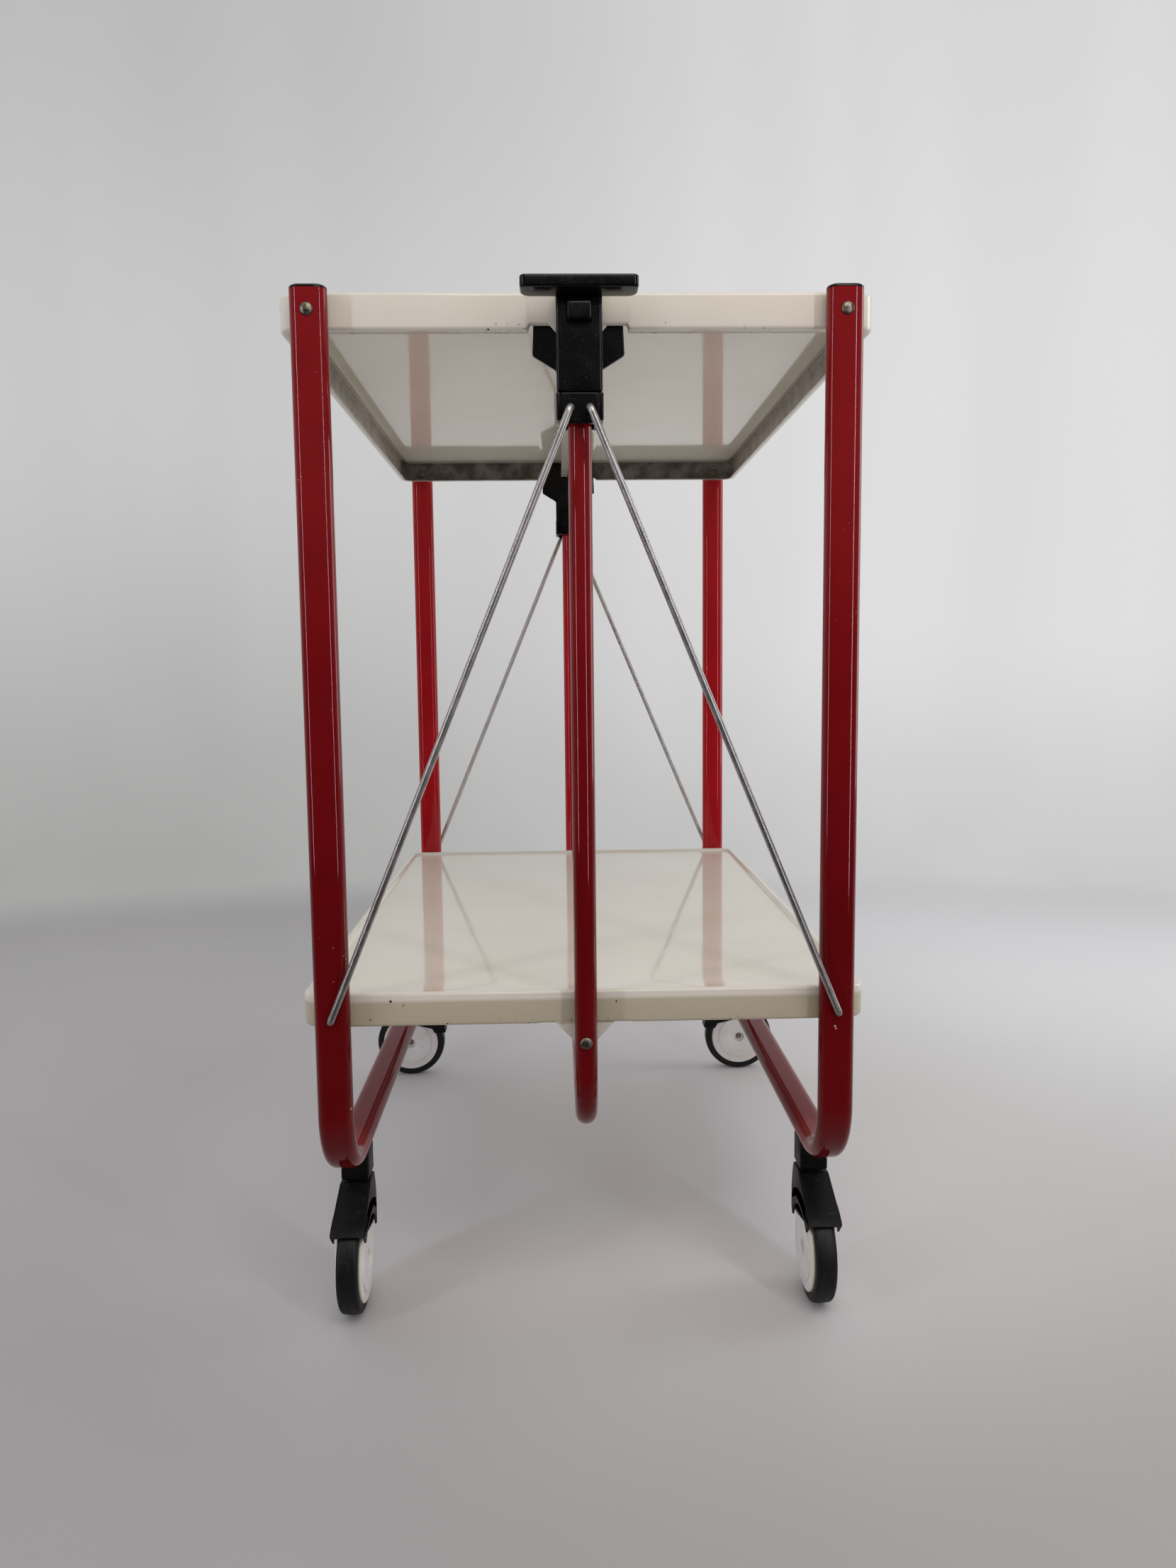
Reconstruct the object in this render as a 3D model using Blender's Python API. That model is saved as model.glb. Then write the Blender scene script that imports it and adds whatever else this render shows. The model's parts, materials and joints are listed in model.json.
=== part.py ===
"""Folding serving trolley: two split trays hinged between three tube frames.

X runs across the trays, Y along them and Z up. The origin is on the floor, under the
middle. The two outer frames carry the trays' outer edges, and the centre frame carries
the hinge line where the two halves of each tray meet. Raising the centre frame by its
handles folds the trays down beside it and draws the outer frames together.
"""
import math

import bmesh
import bpy
from mathutils import Quaternion, Vector

# Gaps between pieces, and how far a cut runs past what it cuts
FIT_GAP = 0.0003
SLIDE_GAP = 0.0005
OVERRUN = 0.004

# Counts of facets
TUBE_HALF_FACETS = 5
BEND_STEPS = 5
CORNER_STEPS = 4
ROUND_STEPS = 12
CENTRE_TUBE_STEPS = 16
HOLE_STEPS = 16
WHEEL_STEPS = 20
WIRE_STEPS = 8
HOOK_STEPS = 3

# Trays
TRAY_WIDTH = 0.404
TRAY_LENGTH = 0.624
TRAY_TOP = 0.7395
TRAY_SPACING = 0.479
SHEET = 0.001
SKIRT_DEPTH = 0.0243
UPPER_SKIRT_STEP = 0.0028
LOWER_SKIRT_STEP = 0.0004
STEP_FROM_SEAM = 0.033
CORNER_RADIUS = 0.016
RIM_ROUND = 0.0025
RIM_FLAT = 0.0025
RIM_WIDTH = 0.009
FLOOR_DROP = 0.003
SEAM_GAP = 0.0008
SEAM_FLANGE_SETBACK = 0.014
SEAM_HEM_WIDTH = 0.008
SIDE_HEM_WIDTH = 0.0045
SIDE_HEM_SETBACK = 0.004

# Hinge lines of the trays
PIVOT_HALF_SPACING = 0.178
OUTER_PIVOT_DROP = 0.0155
CENTRE_PIVOT_DROP = 0.0335
UPPER_GUSSET_HALF_WIDTH = 0.022
LOWER_GUSSET_HALF_WIDTH = 0.0235
UPPER_EYE_RADIUS = 0.007
LOWER_EYE_RADIUS = 0.0088
GUSSET_OVERLAP = 0.003
GUSSET_SHEET = 0.0012
GUSSET_INSET = 0.0002
GUSSET_EYE_START = math.radians(215)
GUSSET_EYE_STOP = math.radians(450)

# Outer frames of flat oval tube
LEG_WIDTH = 0.025
LEG_DEPTH = 0.015
LEG_WALL = 0.0015
LEG_TOP_DROP = 0.0015
LEG_GAP = 0.0005
LEG_BEND_RADIUS = 0.050
CAP_HEIGHT = 0.0024
CAP_ROUND = 0.0014
CAP_PLUG_DEPTH = 0.008

# Centre frame of round tube
CENTRE_TUBE_DIAMETER = 0.016
CENTRE_TUBE_WALL = 0.0015
CENTRE_TUBE_PAST_PIN = 0.006
CENTRE_RAIL_DROP = 0.0665
CENTRE_BEND_RADIUS = 0.040

# Rivets and pins
RIVET_RADIUS = 0.003
RIVET_HEAD_RADIUS = 0.0043
RIVET_HEAD_HEIGHT = 0.0018
RIVET_TAIL_RADIUS = 0.0040
RIVET_TAIL_HEIGHT = 0.0015

# Latch housing, handle bar and trigger at each end
HOUSING_WIDTH = 0.0303
HOUSING_FRONT_WALL = 0.0085
HOUSING_HEIGHT = 0.0609
HOUSING_TOP_DROP = 0.0095
HOUSING_BEVEL = 0.0012
PIN_POCKET_HALF_WIDTH = 0.005
TRIGGER_WIDTH = 0.0152
TRIGGER_HEIGHT = 0.017
TRIGGER_SLOPE = 0.006
TRIGGER_REACH = 0.0075
TRIGGER_TAIL = 0.007
TRIGGER_TAIL_HEIGHT = 0.0095
TRIGGER_TRAVEL = 0.005
HANDLE_WIDTH = 0.0764
HANDLE_OVERLAP = 0.007
HANDLE_REACH = 0.0145
HANDLE_THICKNESS = 0.008
HANDLE_CORNER_RADIUS = 0.007
HANDLE_END_CHAMFER = 0.0028
HANDLE_BEVEL = 0.0014

# Sliding shoe and its wings
SHOE_PROUD = 0.0004
SHOE_HEIGHT = 0.018
SHOE_TO_HOUSING = 0.0006
SHOE_LIP = 0.0018
SHOE_LIP_HALF_WIDTH = 0.0115
SHOE_BEVEL = 0.001
WING_HALF_WIDTH = 0.0297
WING_FLARE = 0.0015
WING_THICKNESS = 0.004
WING_SIDE_FROM_PIN = 0.007
WING_TAPER_FROM_PIN = 0.016
WING_NECK_INSET = 0.0006
WING_LUG_WIDTH = 0.005

# Stay wires
WIRE_DIAMETER = 0.005
WIRE_HOOK_OFFSET = 0.0063
WIRE_HOOK_FROM_SHOE_TOP = 0.0105
WIRE_HOLE_DEPTH = 0.0065
WIRE_BEND_RADIUS = 0.0035
WIRE_HEAD_RADIUS = 0.004
WIRE_HEAD_HEIGHT = 0.0015

# Casters
STEM_FROM_MIDDLE = 0.245
SOCKET_WIDTH = 0.0215
SOCKET_LENGTH = 0.024
SOCKET_DROP = 0.0215
SOCKET_ROOF = 0.005
STEM_RADIUS = 0.004
STEM_COLLAR_RADIUS = 0.007
STEM_COLLAR_HEIGHT = 0.0014
STEM_DEPTH_IN_HOOD = 0.008
CASTER_TRAIL = 0.021
WHEEL_RADIUS = 0.040
TYRE_DEPTH = 0.0072
TYRE_ROUND = 0.0012
WEB_THICKNESS = 0.003
WEB_HALF_WIDTH = 0.009
DISC_PROUD = 0.0028
DISC_CROWN = 0.0012
DISC_STEP_FROM_TREAD = 0.016
HUB_RECESS_RADIUS = 0.0055
HUB_RECESS_DEPTH = 0.0025
AXLE_RADIUS = 0.003
HOOD_WIDTH = 0.026
HOOD_RISE = 0.0155
HOOD_CHEEK = 0.0019
HOOD_TYRE_GAP = 0.0013
HOOD_SHELL = 0.0024
HOOD_PAD_FRONT = 0.013
HOOD_PAD_BACK = 0.008
HOOD_WALL_FROM_TYRE = 0.0022
HOOD_END_HEIGHT = 0.012
HOOD_ARCH_FROM_TREAD = 0.0085
HOOD_FRONT_END_ANGLE = math.radians(46)
HOOD_FRONT_TOP_ANGLE = math.radians(65)
HOOD_SHOULDER_SHARES = ((0.55, 0.10), (0.85, 0.40))

# Places worked out from the sizes above
HALF_LENGTH = TRAY_LENGTH / 2
HALF_WIDTH = TRAY_WIDTH / 2
HALF_SEAM = SEAM_GAP / 2
LEG_Y = HALF_LENGTH + LEG_GAP + LEG_DEPTH / 2
LEG_FACE_Y = LEG_Y + LEG_DEPTH / 2
TUBE_RADIUS = CENTRE_TUBE_DIAMETER / 2
TUBE_Y = HALF_LENGTH + LEG_GAP + TUBE_RADIUS
TUBE_FACE_Y = TUBE_Y + TUBE_RADIUS
HOUSING_FACE_Y = TUBE_FACE_Y + HOUSING_FRONT_WALL
HOUSING_BACK_Y = HALF_LENGTH + LEG_GAP + FIT_GAP
HANDLE_FACE_Y = HOUSING_FACE_Y + HANDLE_REACH
RIGHT_GUSSET_Y = HALF_LENGTH - SHEET - GUSSET_SHEET
PIN_TAIL_Y = RIGHT_GUSSET_Y - GUSSET_SHEET / 2 - FIT_GAP
WING_Y = PIN_TAIL_Y - RIVET_TAIL_HEIGHT - FIT_GAP
SEAM_FLANGE_Y = HALF_LENGTH - SEAM_FLANGE_SETBACK
UPPER_PIN_HEIGHT = TRAY_TOP - CENTRE_PIVOT_DROP
LEG_TOP = TRAY_TOP - LEG_TOP_DROP
HOUSING_TOP = TRAY_TOP - HOUSING_TOP_DROP
HOUSING_BOTTOM = HOUSING_TOP - HOUSING_HEIGHT
SHOE_HALF_WIDTH = HOUSING_WIDTH / 2 + SHOE_PROUD
SHOE_TOP = HOUSING_BOTTOM - SHOE_TO_HOUSING
SHOE_BOTTOM = SHOE_TOP - SHOE_HEIGHT
WIRE_RADIUS = WIRE_DIAMETER / 2
WIRE_TOP_HEIGHT = SHOE_TOP - WIRE_HOOK_FROM_SHOE_TOP
HOOD_TOP = 2 * WHEEL_RADIUS + HOOD_RISE
SOCKET_BOTTOM = HOOD_TOP + STEM_COLLAR_HEIGHT + 2 * FIT_GAP
RAIL_BOTTOM = SOCKET_BOTTOM + SOCKET_DROP
RAIL_HEIGHT = RAIL_BOTTOM + LEG_DEPTH / 2
DISC_OUTER_FACE = HOOD_WIDTH / 2 - HOOD_CHEEK - FIT_GAP
TYRE_OUTER_FACE = DISC_OUTER_FACE - DISC_PROUD
DISC_STEP_RADIUS = WHEEL_RADIUS - DISC_STEP_FROM_TREAD
HOOD_ARCH_RADIUS = WHEEL_RADIUS - HOOD_ARCH_FROM_TREAD
WING_TOP = TRAY_TOP - FLOOR_DROP - SHEET - FIT_GAP

SIDES = (("left", -1), ("right", 1))
ENDS = (("front", -1), ("back", 1))
LEVELS = (("upper", 0.0), ("lower", TRAY_SPACING))
SKIRT_STEPS = {"upper": UPPER_SKIRT_STEP, "lower": LOWER_SKIRT_STEP}
GUSSETS = {"upper": (UPPER_GUSSET_HALF_WIDTH, UPPER_EYE_RADIUS), "lower": (LOWER_GUSSET_HALF_WIDTH, LOWER_EYE_RADIUS)}


def clear_scene():
    """Removes every object, so that the model starts from nothing."""
    for item in list(bpy.data.objects):
        bpy.data.objects.remove(item, do_unlink=True)


def make_material(name, colour, roughness, metallic):
    """A plain Principled BSDF material."""
    material = bpy.data.materials.new(name)
    material.use_nodes = True
    shader = material.node_tree.nodes["Principled BSDF"]
    shader.inputs["Base Color"].default_value = (*colour, 1.0)
    shader.inputs["Roughness"].default_value = roughness
    shader.inputs["Metallic"].default_value = metallic
    return material


def make_materials():
    """All the finishes, by name."""
    return {
        "red": make_material("red_enamel", (0.36, 0.012, 0.018), 0.22, 0.0),
        "cream": make_material("cream_enamel", (0.72, 0.67, 0.54), 0.30, 0.0),
        "black": make_material("black_plastic", (0.016, 0.016, 0.018), 0.40, 0.0),
        "zinc": make_material("zinc_plated_steel", (0.60, 0.60, 0.58), 0.35, 1.0),
        "rubber": make_material("black_rubber", (0.022, 0.022, 0.024), 0.65, 0.0),
        "ivory": make_material("ivory_plastic", (0.78, 0.76, 0.66), 0.35, 0.0),
    }


def add_object(name, mesh, material, origin=(0, 0, 0)):
    """Links a mesh drawn in world places as an object whose own origin is the given point."""
    bmesh.ops.recalc_face_normals(mesh, faces=mesh.faces[:])
    bmesh.ops.translate(mesh, verts=mesh.verts[:], vec=-Vector(origin))
    data = bpy.data.meshes.new(name)
    mesh.to_mesh(data)
    mesh.free()
    data.materials.append(material)
    item = bpy.data.objects.new(name, data)
    item.location = origin
    bpy.context.collection.objects.link(item)
    return item


def shade_round(item):
    """Smooth shading with the sharp edges kept."""
    item.data.shade_smooth()
    item.data.set_sharp_from_angle(angle=math.radians(35))


def combine(item, mesh, operation):
    """Adds a Boolean with a hidden tool made from the given mesh, drawn in world places."""
    tool = add_object(item.name + "_tool", mesh, item.data.materials[0])
    tool.hide_render = True
    tool.display_type = "WIRE"
    modifier = item.modifiers.new(operation.lower(), "BOOLEAN")
    modifier.operation = operation
    modifier.solver = "EXACT"
    modifier.object = tool


def bevel(item, width):
    """Breaks the sharp edges."""
    modifier = item.modifiers.new("bevel", "BEVEL")
    modifier.width = width
    modifier.segments = 1
    modifier.limit_method = "ANGLE"
    modifier.angle_limit = math.radians(40)


def arc(centre, radius, start, stop, steps):
    """Points of an arc in a plane, both ends included."""
    angles = [start + (stop - start) * i / steps for i in range(steps + 1)]
    return [(centre[0] + radius * math.cos(a), centre[1] + radius * math.sin(a)) for a in angles]


def circle(centre, radius, steps):
    """Points of a full circle in a plane, with a flat and not a corner on each axis."""
    start = math.pi / steps
    return arc(centre, radius, start, start + 2 * math.pi, steps)[:-1]


def rectangle(low, high):
    """Corners of a rectangle in a plane."""
    return [(low[0], low[1]), (high[0], low[1]), (high[0], high[1]), (low[0], high[1])]


def prism(outline, axis, start, stop):
    """A closed outline carried along X, Y or Z from one level to another."""
    rings = []
    for level in (start, stop):
        along = {"X": lambda a, b: (level, a, b), "Y": lambda a, b: (a, level, b)}
        place = along.get(axis, lambda a, b: (a, b, level))
        rings.append([place(a, b) for a, b in outline])
    return loft(rings)


def loft(rings):
    """Rings of equal count joined into one solid with flat ends."""
    mesh = bmesh.new()
    rows = [[mesh.verts.new(point) for point in ring] for ring in rings]
    for low, high in zip(rows, rows[1:]):
        for i, vertex in enumerate(low):
            follower = (i + 1) % len(low)
            mesh.faces.new((vertex, low[follower], high[follower], high[i]))
    mesh.faces.new(rows[0])
    mesh.faces.new(rows[-1])
    return mesh


def shell(outer, inner):
    """An open ended tube: outer rings and inner rings joined at both ends."""
    mesh = bmesh.new()
    skins = [[[mesh.verts.new(point) for point in ring] for ring in rings] for rings in (outer, inner)]
    for rows in skins:
        for low, high in zip(rows, rows[1:]):
            for i, vertex in enumerate(low):
                follower = (i + 1) % len(low)
                mesh.faces.new((vertex, low[follower], high[follower], high[i]))
    for end in (0, -1):
        out_ring, in_ring = skins[0][end], skins[1][end]
        for i, vertex in enumerate(out_ring):
            follower = (i + 1) % len(out_ring)
            mesh.faces.new((vertex, out_ring[follower], in_ring[follower], in_ring[i]))
    return mesh


def lathe(profile, axis, centre, steps):
    """A profile of (radius, level) pairs turned about a line along Y or Z.

    A profile that starts and ends at radius zero gives a solid body, and one that keeps
    off the line closes on itself as a ring.
    """
    mesh = bmesh.new()

    def point(radius, level, angle):
        a, b = radius * math.cos(angle), radius * math.sin(angle)
        offset = (a, level, b) if axis == "Y" else (a, b, level)
        return Vector(centre) + Vector(offset)

    rows = []
    for radius, level in profile:
        count = steps if radius > 0 else 1
        rows.append([mesh.verts.new(point(radius, level, 2 * math.pi * i / steps)) for i in range(count)])
    pairs = list(zip(rows, rows[1:]))
    if profile[0][0] > 0:
        pairs.append((rows[-1], rows[0]))
    for low, high in pairs:
        for i in range(steps):
            corners = [low[i % len(low)], low[(i + 1) % len(low)]]
            corners += [high[(i + 1) % len(high)], high[i % len(high)]]
            mesh.faces.new(list(dict.fromkeys(corners)))
    return mesh


def rounded_path(corners, radius, steps):
    """A run of straight stretches with each inner corner rounded to an arc."""
    points = [Vector(corners[0])]
    for before, corner, after in zip(corners, corners[1:], corners[2:]):
        corner = Vector(corner)
        inward = (Vector(before) - corner).normalized()
        outward = (Vector(after) - corner).normalized()
        half = inward.angle(outward) / 2
        middle = corner + (inward + outward).normalized() * (radius / math.sin(half))
        spoke = corner + inward * (radius / math.tan(half)) - middle
        axis = inward.cross(outward)
        sweep_angle = math.pi - 2 * half
        for i in range(steps + 1):
            turned = spoke.copy()
            turned.rotate(Quaternion(-axis.normalized(), sweep_angle * i / steps))
            points.append(middle + turned)
    points.append(Vector(corners[-1]))
    return points


def swept_rings(path, section, side):
    """Rings of a section of (side, normal) pairs carried along a path."""
    rings = []
    side = Vector(side).normalized()
    for i, point in enumerate(path):
        ahead = path[min(i + 1, len(path) - 1)] - path[max(i - 1, 0)]
        direction = ahead.normalized()
        side = (side - direction * side.dot(direction)).normalized()
        normal = direction.cross(side)
        rings.append([point + side * a + normal * b for a, b in section])
    return rings


def flat_oval(width, depth):
    """Outline of a flat oval tube: two half circles joined by flats."""
    radius = depth / 2
    reach = width / 2 - radius
    quarter = math.pi / 2
    right = arc((reach, 0), radius, -quarter, quarter, TUBE_HALF_FACETS)
    left = arc((-reach, 0), radius, quarter, 3 * quarter, TUBE_HALF_FACETS)
    return right + left


def pivot_height(level_drop):
    """Height of the outer pivots of a tray."""
    return TRAY_TOP - OUTER_PIVOT_DROP - level_drop


def pin_height(level_drop):
    """Height of the centre pins of a tray."""
    return TRAY_TOP - CENTRE_PIVOT_DROP - level_drop


def frame_path(x, half_span, top, rail, radius):
    """Path of a U frame: down one upright, along the rail and up the other."""
    corners = [(x, -half_span, top), (x, -half_span, rail), (x, half_span, rail), (x, half_span, top)]
    return rounded_path(corners, radius, BEND_STEPS)


def cross_hole(x, height, radius):
    """A round cutter that runs through a frame or a tray from end to end."""
    reach = HANDLE_FACE_Y + OVERRUN
    return prism(circle((x, height), radius, HOLE_STEPS), "Y", -reach, reach)


def side_path(x):
    """Path of an outer frame's tube."""
    return frame_path(x, LEG_Y, LEG_TOP, RAIL_HEIGHT, LEG_BEND_RADIUS)


def side_frame(side_name, side, material):
    """Outer frame: two legs and the rail between them, bent from one flat oval tube."""
    x = side * PIVOT_HALF_SPACING
    path = side_path(x)
    outer = swept_rings(path, flat_oval(LEG_WIDTH, LEG_DEPTH), (1, 0, 0))
    bore = flat_oval(LEG_WIDTH - 2 * LEG_WALL, LEG_DEPTH - 2 * LEG_WALL)
    frame = add_object(f"{side_name}_side_frame", shell(outer, swept_rings(path, bore, (1, 0, 0))), material)
    combine(frame, cross_hole(x, pivot_height(0.0), RIVET_RADIUS + FIT_GAP), "DIFFERENCE")
    combine(frame, cross_hole(x, pivot_height(TRAY_SPACING), WIRE_RADIUS + FIT_GAP), "DIFFERENCE")
    shade_round(frame)


def centre_frame(material):
    """Centre frame: two uprights and the rail under the lower tray, from one round tube."""
    top = UPPER_PIN_HEIGHT + CENTRE_TUBE_PAST_PIN
    rail = pin_height(TRAY_SPACING) - CENTRE_RAIL_DROP
    path = frame_path(0, TUBE_Y, top, rail, CENTRE_BEND_RADIUS)
    outer = swept_rings(path, circle((0, 0), TUBE_RADIUS, CENTRE_TUBE_STEPS), (1, 0, 0))
    inner = swept_rings(path, circle((0, 0), TUBE_RADIUS - CENTRE_TUBE_WALL, CENTRE_TUBE_STEPS), (1, 0, 0))
    frame = add_object("centre_frame", shell(outer, inner), material)
    for _, drop in LEVELS:
        combine(frame, cross_hole(0, pin_height(drop), RIVET_RADIUS + FIT_GAP), "DIFFERENCE")
    shade_round(frame)


def leg_cap(name, x, y, material):
    """Domed plug that closes the top of a leg."""
    plug = flat_oval(LEG_WIDTH - 2 * (LEG_WALL + FIT_GAP), LEG_DEPTH - 2 * (LEG_WALL + FIT_GAP))
    brim = flat_oval(LEG_WIDTH, LEG_DEPTH)
    crown = flat_oval(LEG_WIDTH - 2 * CAP_ROUND, LEG_DEPTH - 2 * CAP_ROUND)
    seat = LEG_TOP + FIT_GAP
    top = seat + CAP_HEIGHT
    levels = [(plug, LEG_TOP - CAP_PLUG_DEPTH), (plug, seat)]
    levels += [(brim, seat), (brim, top - CAP_ROUND), (crown, top)]
    rings = [[(x + a, y + b, level) for a, b in outline] for outline, level in levels]
    shade_round(add_object(name, loft(rings), material))


def rim_profile(depth):
    """Cross-section of a tray's edge as (inset, drop) pairs, up the outside and back down the inside."""
    inner_round = RIM_ROUND - SHEET
    lag = 1 - math.cos(math.pi / 4)
    shoulder = RIM_ROUND + RIM_FLAT
    outside = [(0, depth), (0, RIM_ROUND), (RIM_ROUND * lag, RIM_ROUND * lag)]
    outside += [(RIM_ROUND, 0), (shoulder, 0), (RIM_WIDTH, FLOOR_DROP)]
    inside = [(RIM_WIDTH, FLOOR_DROP + SHEET), (shoulder, SHEET), (RIM_ROUND, SHEET)]
    inside += [(SHEET + inner_round * lag, SHEET + inner_round * lag), (SHEET, RIM_ROUND), (SHEET, depth)]
    return outside + inside


def rim_stations(side, short):
    """Places round the outer edge of a half tray, from the seam to the seam again.

    Each gives the place, the outward direction and the depth of the skirt there.
    """
    quarter = math.pi / 2
    straight = ((HALF_SEAM, short), (STEP_FROM_SEAM, short), (STEP_FROM_SEAM + SHEET, SKIRT_DEPTH))
    stations = [(-x, -HALF_LENGTH, 0, -1, depth) for x, depth in straight]
    for y_side, start, stop in ((-1, 3 * quarter, 2 * quarter), (1, 2 * quarter, quarter)):
        centre = (-HALF_WIDTH + CORNER_RADIUS, y_side * (HALF_LENGTH - CORNER_RADIUS))
        for i in range(CORNER_STEPS + 1):
            angle = start + (stop - start) * i / CORNER_STEPS
            out = (math.cos(angle), math.sin(angle))
            place = (centre[0] + CORNER_RADIUS * out[0], centre[1] + CORNER_RADIUS * out[1])
            stations.append((*place, *out, SKIRT_DEPTH))
    stations += [(-x, HALF_LENGTH, 0, 1, depth) for x, depth in reversed(straight)]
    return [(-side * x, y, -side * out_x, out_y, depth) for x, y, out_x, out_y, depth in stations]


def pressed_half(side, top, short):
    """Half of a tray pressed from sheet: floor, raised rim and skirt, open along the seam."""
    mesh = bmesh.new()
    rows = []
    for x, y, out_x, out_y, depth in rim_stations(side, short):
        row = [(x - out_x * inset, y - out_y * inset, top - drop) for inset, drop in rim_profile(depth)]
        rows.append([mesh.verts.new(point) for point in row])
    count = len(rows[0])
    floor_top = count // 2 - 1
    floor_under = count // 2
    for low, high in zip(rows, rows[1:]):
        for i in range(count):
            if i != floor_top:
                follower = (i + 1) % count
                mesh.faces.new((low[i], low[follower], high[follower], high[i]))
    mesh.faces.new([row[floor_top] for row in rows])
    mesh.faces.new([row[floor_under] for row in rows])
    first, last = rows[0], rows[-1]
    mesh.faces.new((first[floor_top], first[floor_under], last[floor_under], last[floor_top]))
    for row in (first, last):
        for i in range(floor_top):
            mesh.faces.new((row[i], row[i + 1], row[count - 2 - i], row[count - 1 - i]))
    return mesh


def seam_flange(side, top, short):
    """Turned-down edge along the seam with a hem folded outward at its foot."""
    near = HALF_SEAM + FIT_GAP
    floor = top - FLOOR_DROP - SHEET / 2
    foot = top - short
    far = near + SEAM_HEM_WIDTH
    outline = [(near, floor), (near, foot), (far, foot), (far, foot + SHEET)]
    outline += [(near + SHEET, foot + SHEET), (near + SHEET, floor)]
    return prism([(side * x, z) for x, z in outline], "Y", -SEAM_FLANGE_Y, SEAM_FLANGE_Y)


def side_hem(side, top):
    """Inward hem along the foot of the long skirt."""
    foot = top - SKIRT_DEPTH
    outer = HALF_WIDTH - SHEET / 2
    inner = HALF_WIDTH - SHEET - SIDE_HEM_WIDTH
    reach = HALF_LENGTH - CORNER_RADIUS - SIDE_HEM_SETBACK
    low, high = sorted((side * inner, side * outer))
    return prism(rectangle((low, foot + FIT_GAP), (high, foot + FIT_GAP + SHEET)), "Y", -reach, reach)


def gusset_outline(side, top, short, half_width, eye_radius):
    """Hinge lug under the skirt, with a round eye on the centre pin."""
    pin = top - CENTRE_PIVOT_DROP
    root = top - short + GUSSET_OVERLAP
    eye = arc((0, pin), eye_radius, GUSSET_EYE_START, GUSSET_EYE_STOP, 2 * CORNER_STEPS)[:-1]
    outline = [(-half_width, root)] + eye + [(-HALF_SEAM, pin + eye_radius), (-HALF_SEAM, root)]
    return [(-side * x, z) for x, z in outline]


def add_gussets(tray, side, top, short, half_width, eye_radius):
    """Lugs at both ends: the left ones in the skirt's own plane, the right ones stepped in behind them."""
    outline = gusset_outline(side, top, short, half_width, eye_radius)
    foot = top - short
    for _, end in ENDS:
        if side < 0:
            outer = HALF_LENGTH - GUSSET_INSET
            combine(tray, prism(outline, "Y", end * outer, end * (outer - SHEET / 2)), "UNION")
            continue
        combine(tray, prism(outline, "Y", end * (RIGHT_GUSSET_Y + GUSSET_SHEET / 2),
                            end * (RIGHT_GUSSET_Y - GUSSET_SHEET / 2)), "UNION")
        low, high = foot + FIT_GAP, foot + GUSSET_OVERLAP
        patch = rectangle((HALF_SEAM + FIT_GAP, low), (half_width - FIT_GAP, high))
        combine(tray, prism(patch, "Y", end * (HALF_LENGTH - SHEET / 2), end * RIGHT_GUSSET_Y), "UNION")


def tray_half(level, drop, side_name, side, material):
    """One half of a tray, with its seam flange, hems, lugs and pivot holes."""
    top = TRAY_TOP - drop
    x = side * PIVOT_HALF_SPACING
    height = pivot_height(drop)
    origin = (x, 0, height) if level == "lower" or side < 0 else (0, 0, pin_height(drop))
    short = SKIRT_DEPTH - SKIRT_STEPS[level]
    tray = add_object(f"{level}_tray_{side_name}_half", pressed_half(side, top, short), material, origin)
    combine(tray, seam_flange(side, top, short), "UNION")
    combine(tray, side_hem(side, top), "UNION")
    add_gussets(tray, side, top, short, *GUSSETS[level])
    pivot_radius = RIVET_RADIUS if level == "upper" else WIRE_RADIUS
    combine(tray, cross_hole(x, height, pivot_radius + FIT_GAP), "DIFFERENCE")
    combine(tray, cross_hole(0, pin_height(drop), RIVET_RADIUS + FIT_GAP), "DIFFERENCE")


def rivet(x, height, end, head_y, tail_y):
    """A domed rivet along Y: head outside, shank, and peened tail inside."""
    dome = RIVET_HEAD_RADIUS * math.cos(math.pi / 4)
    head = head_y + FIT_GAP
    tail = tail_y
    profile = [(0, head + RIVET_HEAD_HEIGHT), (dome, head + RIVET_HEAD_HEIGHT * math.cos(math.pi / 4))]
    profile += [(RIVET_HEAD_RADIUS, head), (RIVET_RADIUS, head), (RIVET_RADIUS, tail)]
    peened = tail - RIVET_TAIL_HEIGHT
    profile += [(RIVET_TAIL_RADIUS, tail), (RIVET_TAIL_RADIUS, peened), (0, peened)]
    return lathe([(radius, end * level) for radius, level in profile], "Y", (x, 0, height), ROUND_STEPS)


def pivot_rivet(name, x, end, material):
    """Rivet that hangs a half of the upper tray on a leg."""
    tail = HALF_LENGTH - SHEET - FIT_GAP
    shade_round(add_object(name, rivet(x, pivot_height(0.0), end, LEG_FACE_Y, tail), material))


def centre_pin(name, drop, end, material):
    """Pin that joins both halves of a tray to the centre frame."""
    shade_round(add_object(name, rivet(0, pin_height(drop), end, TUBE_FACE_Y, PIN_TAIL_Y), material))


def span(end, outer, inner):
    """Levels along Y of a piece at one end, from its outer to its inner face."""
    return end * outer, end * inner


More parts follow.
